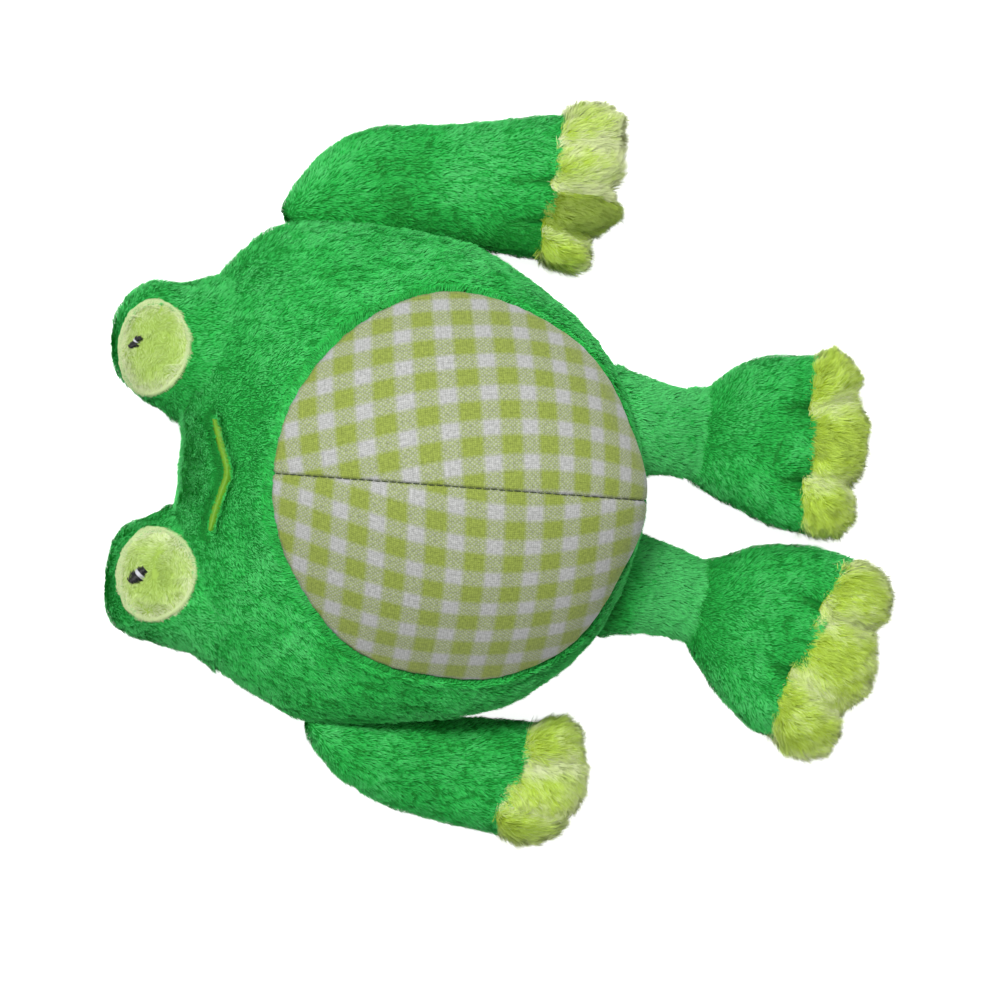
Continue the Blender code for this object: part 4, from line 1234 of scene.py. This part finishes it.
# The base runs over the limb's end and the edge over the tips. Each tuft ends at one share of both of them.
ENDS = {
    "hand_left": {
        "base": ((27.0, 121.2), (26.0, 105), (24.4, 90), (22.6, 74.5)),
        "edge": (
            (27.0, 122.3), (27.4, 124.6), (31.8, 127.6), (39.3, 127.6), (45.0, 124.6), (46.4, 115.5),
            (46.4, 105.7), (43.6, 99.6), (47.4, 93.5), (46.6, 91.0), (42.0, 87.0), (38.0, 84.1),
            (36.8, 78.0), (36.0, 72.8), (32.0, 71.6), (27.4, 72.4), (22.4, 74.0),
        ),
        "tufts": ((0.17, 0.36), (0.50, 0.55), (0.78, 0.76)),
        # The third tuft's low tone is painted shadow.
        "tones": (0.34, 0.34, -0.6, 0.1),
        "lean": (0.0, -0.5, 0.3, -0.2),
    },
    "hand_right": {
        "base": ((31.0, -74.2), (28.4, -88), (24.0, -97), (21.4, -109)),
        "edge": (
            (31.5, -73.8), (36.0, -72.6), (41.0, -71.9), (45.0, -74.3), (47.2, -79.0), (49.5, -85.0),
            (49.0, -93.0), (47.0, -100.5), (43.6, -104.4), (43.6, -108.0), (39.8, -111.0),
            (34.0, -113.8), (27.8, -114.4), (23.2, -112.5), (21.4, -109.5),
        ),
        "tufts": ((0.36, 0.33), (0.80, 0.62)),
        "tones": (0.16, 0.22, 0.16),
        "lean": (0.2, 0.7, -0.3),
    },
    "toes_left": {
        "base": ((113.4, 50.8), (113.8, 41.4), (113.8, 25.7), (113.1, 12.2), (112.8, -6.0)),
        "edge": (
            (113.6, 51.2), (116.3, 52.9), (119.5, 54.4), (123.1, 51.7), (127.6, 46.4), (127.4, 41.6),
            (129.4, 37.0), (131.8, 31.4), (132.0, 23.0), (130.4, 14.0), (127.0, 9.0), (128.2, 3.6),
            (127.6, -2.2), (124.6, -7.2), (118.5, -7.8), (112.8, -6.6),
        ),
        "tufts": ((0.30, 0.29), (0.67, 0.69)),
        "tones": (0.05, -0.01, 0.05),
        "lean": (-0.25, 0.0, 0.2),
    },
    "toes_right": {
        "base": ((129.2, -13.9), (124.4, -24), (120.6, -34), (114.4, -50), (109.6, -61.3), (107.2, -72.6)),
        "edge": (
            (130.2, -13.8), (134.8, -15.0), (140.0, -18.2), (142.4, -23.6), (142.0, -30.6),
            (138.6, -34.6), (139.8, -41.0), (140.0, -49.0), (137.6, -56.9), (132.6, -61.8),
            (129.2, -66.6), (128.6, -72.6), (124.4, -78.8), (118.0, -80.0), (112.5, -79.0),
            (107.5, -74.0),
        ),
        "tufts": ((0.33, 0.31), (0.67, 0.66)),
        "tones": (0.12, 0.08, 0.12),
        "lean": (0.25, 0.1, -0.25),
    },
}


def at_share(line, shares):
    """Points at these shares of a line's length."""
    line = np.asarray(line, float)
    size = lengths_along(line)
    return np.column_stack([np.interp(np.asarray(shares) * size[-1], size, line[:, k]) for k in (0, 1)])


PAD_ROWS = 40
PAD_COLUMNS = 110
PAD_POWER = 2.3
PAD_THICK = 12.6
PAD_HEIGHT = 12.8
PAD_DROP = 3.0
PAD_SINK = 2.6
FUR_REACH = 4.2


def pad_surface(end, seed):
    """The pad under the fur: from the top of its base to its edge, and back below."""
    stops = np.linspace(0, 1, len(end["tufts"]) + 2)
    along = np.linspace(0, 1, PAD_COLUMNS)
    base_share = np.interp(along, stops, [0] + [pair[0] for pair in end["tufts"]] + [1])
    edge_share = np.interp(along, stops, [0] + [pair[1] for pair in end["tufts"]] + [1])
    base = at_share(end["base"], base_share)
    edge = at_share(end["edge"], edge_share)
    place = along * (len(stops) - 1) % 1
    place[-1] = 1
    plump = np.abs(np.sin(math.pi * place)) ** 0.5
    middle = (base + edge).mean(axis=0) / 2
    inward = unit(middle - edge)
    away = unit(edge - base)
    edge = edge - away * FUR_REACH * 0.35 + inward * FUR_REACH * 0.3 - away * (1 - plump[:, None]) * 1.4
    base = base - away * PAD_SINK
    turn = np.linspace(0, math.pi, PAD_ROWS)[:, None]
    out = np.abs(np.sin(turn)) ** (2 / PAD_POWER)
    rise = np.sign(np.cos(turn)) * np.abs(np.cos(turn)) ** (2 / PAD_POWER)
    closing = np.clip(1 - np.abs(2 * along - 1) ** 3.2, 0, 1) ** (1 / 2.6)
    bank = 0.78 + 0.22 * plump
    sunk = 1 - 0.12 * hill(out, 0.14)
    points = np.zeros((PAD_ROWS, PAD_COLUMNS, 3))
    points[..., :2] = base + (edge - base) * out[..., None]
    bulge_out = 1 + 0.16 * np.sin(math.pi * np.clip(out, 0, 1)) * plump
    thick = PAD_THICK * closing * (1 - (1 - bank) * np.clip(out * 4, 0, 1)) * bulge_out * sunk
    points[..., 2] = PAD_HEIGHT - PAD_DROP * out + rise * thick
    surface = Surface(points, False, np.append(middle, 12.0))
    surface = surface.moved(0.6 * noise(points, 6, seed) + 0.3 * noise(points, 3, seed + 1))
    surface.points[..., 2] = np.maximum(surface.points[..., 2], LOWEST_SKIN)
    return surface, away


def shag(name, end, count, seed):
    """Long strands that follow each tuft, drawn into locks."""
    surface, away = pad_surface(end, seed)
    top = np.ones(surface.points.shape[:2])
    top[PAD_ROWS // 2 :] = 0.45
    spots = scatter(surface, int(count * SPARSE), seed, top)
    rng = spots["rng"]
    at = spots["at"]
    column = np.clip((spots["turn"] * PAD_COLUMNS).astype(int), 0, PAD_COLUMNS - 1)
    where = np.clip(spots["turn"] * PAD_COLUMNS / (PAD_COLUMNS - 1), 0, 0.999) * (len(end["tufts"]) + 1)
    tuft = where.astype(int)
    side = where % 1 * 2 - 1
    out = np.minimum(spots["share"], 1 - spots["share"]) * 2
    heading = np.column_stack([away[column], np.zeros(len(at))])
    beside = np.column_stack([-away[column][:, 1], away[column][:, 0], np.zeros(len(at))])
    lean = np.array(end["lean"])[tuft] + 0.35 * side
    flow = heading - lean[:, None] * beside + 0.25 * UP + 0.5 * noise(at, 6, seed)[:, None] * beside
    base = hill(out, 0.12)[:, None]
    flow = unit(flow * (1 - 0.5 * base) + (0.16 + 0.22 * base) * rng.normal(0, 1, at.shape))
    locks = rng.choice(len(at), max(24, len(at) // 70), replace=False)
    near = np.argmin(np.linalg.norm(at[:, None] - at[locks][None], axis=2), axis=1)
    toward = unit(flow[locks] + rng.normal(0, 0.22, (len(locks), 3)))
    tips = at[locks] + toward * rng.uniform(3.4, 7.2, (len(locks), 1))
    tips = tips + spots["normal"][locks] * rng.uniform(0.6, 1.8, (len(locks), 1))
    length = rng.uniform(3.6, 6.2, len(at)) * (0.85 + 0.15 * out)
    length = length * np.where(rng.random(len(at)) < 0.05, 1.3, 1)
    length = length * (1 - 0.35 * base[:, 0])
    pull = rng.uniform(0.0, 0.5, len(at))
    lift = 0.6 + 0.15 * base[:, 0]
    pale = np.maximum(np.abs(side), out) ** 2
    tone = 0.28 + np.array(end["tones"])[tuft] + 0.62 * pale + 0.06 * rng.normal(0, 1, len(locks))[near]
    # The hollows between tufts, near the base, are darkened: painted shade.
    tone = tone + 0.14 * noise(at, 4, seed + 4) - 0.16 * hill(1 - np.abs(side), 0.12) * (1 - out)
    pulled = (pull, tips[near])
    fur = lay(name, spots, flow, length, 0.16, lift, tone, LIME_PILE, 0.7, pulled, parts=3, curl=0.16)
    return fur, surface


# Painted shade in the pile's tone: on an arm's inner side, on a leg near the body, and what a dart's fold takes
# off.
ARM_SHADE = {"left": -0.9, "right": -0.1}
LEG_SHADE = {"left": -0.15, "right": -0.7}
DART_SHADE = 1.6
HAND_STRANDS = 36000
TOE_STRANDS = 39000


def across_joint(pieces):
    for piece in pieces:
        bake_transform(piece)


def make_limb(surface, kind, side, per_mm2, seed, tone, joint, parent, reach, keep=None, **pile_size):
    """A limb's skin and pile. Its joint and reach are not used."""
    name = f"{kind}_{side}"
    covered = (f"{kind}_cover_{side}", f"{kind}_stuffing_{side}")
    body = skin(surface, name, GREEN_GROUND, None, covered)
    pile = fuzz(surface, f"{kind}_pile_{side}", per_mm2, along_limb, seed, tone, keep=keep, **pile_size)
    across_joint((body, pile))


def make_end(kind, fur_name, side, body, replaced, count, seed):
    fur, pad = shag(f"{fur_name}_{side}", ENDS[f"{kind}_{side}"], count, seed)
    skin(pad, f"{kind}_{side}", LIME_GROUND, body, (replaced,))
    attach(fur, body)


def make_arm(side):
    arm = tube(ARM_STATIONS[side], 110, 128, 2.25, 0.45, 51)
    places = ARM_DARTS[side]
    arm, keep = with_darts(arm, places, ARM_DART_DEPTH, ARM_DART_START)

    def tone(spots):
        across = np.cos(spots["turn"] * 2 * math.pi)
        dart = dart_shape(spots["share"], across, places, ARM_DART_START)
        # Painted shade: darker on the arm's inner side towards the hand, and in the darts' folds.
        return ARM_SHADE[side] * hill(across + 1, 0.6) * np.sqrt(spots["share"]) - DART_SHADE * dart

    make_limb(arm, "arm", side, 6.5, 300 + len(side), tone, "shoulder", "body", (-8, 2), keep)
    make_end("hand", "hand_fur", side, f"arm_{side}", f"hand_end_{side}", HAND_STRANDS, 310 + len(side))


def make_leg(side):
    def tone(spots):
        # Painted shade: darker near the body, where the leg comes out from under the belly.
        return 0.34 + LEG_SHADE[side] * hill(spots["share"], 0.35)

    leg = tube(LEG_STATIONS[side], 50, 80, 2.3, 0.4, 53)
    seed = 320 + len(side)
    make_limb(leg, "leg", side, 7.5, seed, tone, "hip", "body", (-5, 6), length=2.3, width=0.28)


def make_foot(side):
    foot = tube(FOOT_STATIONS[side], 90, 160, 2.35, 0.35, 55)
    places = FOOT_DARTS[side]
    foot, keep = with_darts(foot, places, FOOT_DART_DEPTH, FOOT_DART_START)

    def tone(spots):
        across = np.cos(spots["turn"] * 2 * math.pi)
        dart = dart_shape(spots["share"], across, places, FOOT_DART_START)
        # Painted shade: darker near the ankle and in the darts' folds.
        return 0.05 - 0.5 * np.exp(-spots["share"] / 0.22) - DART_SHADE * dart

    make_limb(foot, "foot", side, 7.0, 330 + len(side), tone, "ankle", f"leg_{side}", (-3, 5), keep)
    make_end("toes", "toe_fur", side, f"foot_{side}", f"toe_end_{side}", TOE_STRANDS, 340 + len(side))


for side in SIGN:
    make_arm(side)
    make_leg(side)
    make_foot(side)

# %% [markdown]
# ## Floor, light and camera
#
# The frog lies on a white floor under one large soft light from the top of the picture, with a pale room
# round it that lifts the shadows. The camera looks straight down, turned a little so that the frog lies as it
# does in the photograph.

# %% Stage
VIEW_CENTRE = (14.2, -3.1)
VIEW_TURN = 4.2
VIEW_WIDTH = 317.5
VIEW_HEIGHT = 1600.0
FOCUS_HEIGHT = 45.0
SENSOR_WIDTH = 36
KEY_PLACE = (-220, 400, 1330)
KEY_AIM = (0, 0, 40)
KEY_SIZE = 300
KEY_WATTS = 19
ROOM_LIGHT = 0.46
FLOOR_SHADE = 0.82
FLOOR_GLOW = 0.93
FLOOR_REACH = 3000
FLOOR_HEIGHT = -0.3


def make_stage():
    sides = ((-1, -1), (1, -1), (1, 1), (-1, 1))
    corners = [(x * FLOOR_REACH, y * FLOOR_REACH, FLOOR_HEIGHT) for x, y in sides]
    floor = add_mesh("floor", corners, ((0, 1, 2, 3),))
    material, tree, shader = new_material("floor_white", 1.0, 0.0, (1, 1, 1))
    shader.inputs["Base Color"].default_value = (FLOOR_SHADE, FLOOR_SHADE, FLOOR_SHADE, 1)
    shader.inputs["Emission Color"].default_value = (1, 1, 1, 1)
    path = tree.nodes.new("ShaderNodeLightPath")
    glow = math_node(tree, "MULTIPLY", path.outputs["Is Camera Ray"], FLOOR_GLOW)
    tree.links.new(glow, shader.inputs["Emission Strength"])
    floor.data.materials.append(material)
    world = bpy.data.worlds.new("room")
    world.use_nodes = True
    background = world.node_tree.nodes["Background"]
    background.inputs["Color"].default_value = (1, 1, 1, 1)
    background.inputs["Strength"].default_value = ROOM_LIGHT
    bpy.context.scene.world = world
    light = bpy.data.lights.new("key", "AREA")
    light.size = KEY_SIZE * MM
    light.energy = KEY_WATTS
    obj = bpy.data.objects.new("key", light)
    obj.location = Vector(KEY_PLACE) * MM
    obj.rotation_euler = (Vector(KEY_AIM) * MM - obj.location).to_track_quat("-Z", "Y").to_euler()
    bpy.context.scene.collection.objects.link(obj)


def make_camera():
    camera = bpy.data.cameras.new("camera")
    camera.sensor_width = SENSOR_WIDTH
    camera.lens = SENSOR_WIDTH * (VIEW_HEIGHT - FOCUS_HEIGHT) / VIEW_WIDTH
    obj = bpy.data.objects.new("camera", camera)
    obj.location = (VIEW_CENTRE[0] * MM, VIEW_CENTRE[1] * MM, VIEW_HEIGHT * MM)
    obj.rotation_euler = (0, 0, math.radians(VIEW_TURN))
    bpy.context.scene.collection.objects.link(obj)
    bpy.context.scene.camera = obj
    bpy.context.scene.view_settings.view_transform = "Standard"


make_stage()
make_camera()
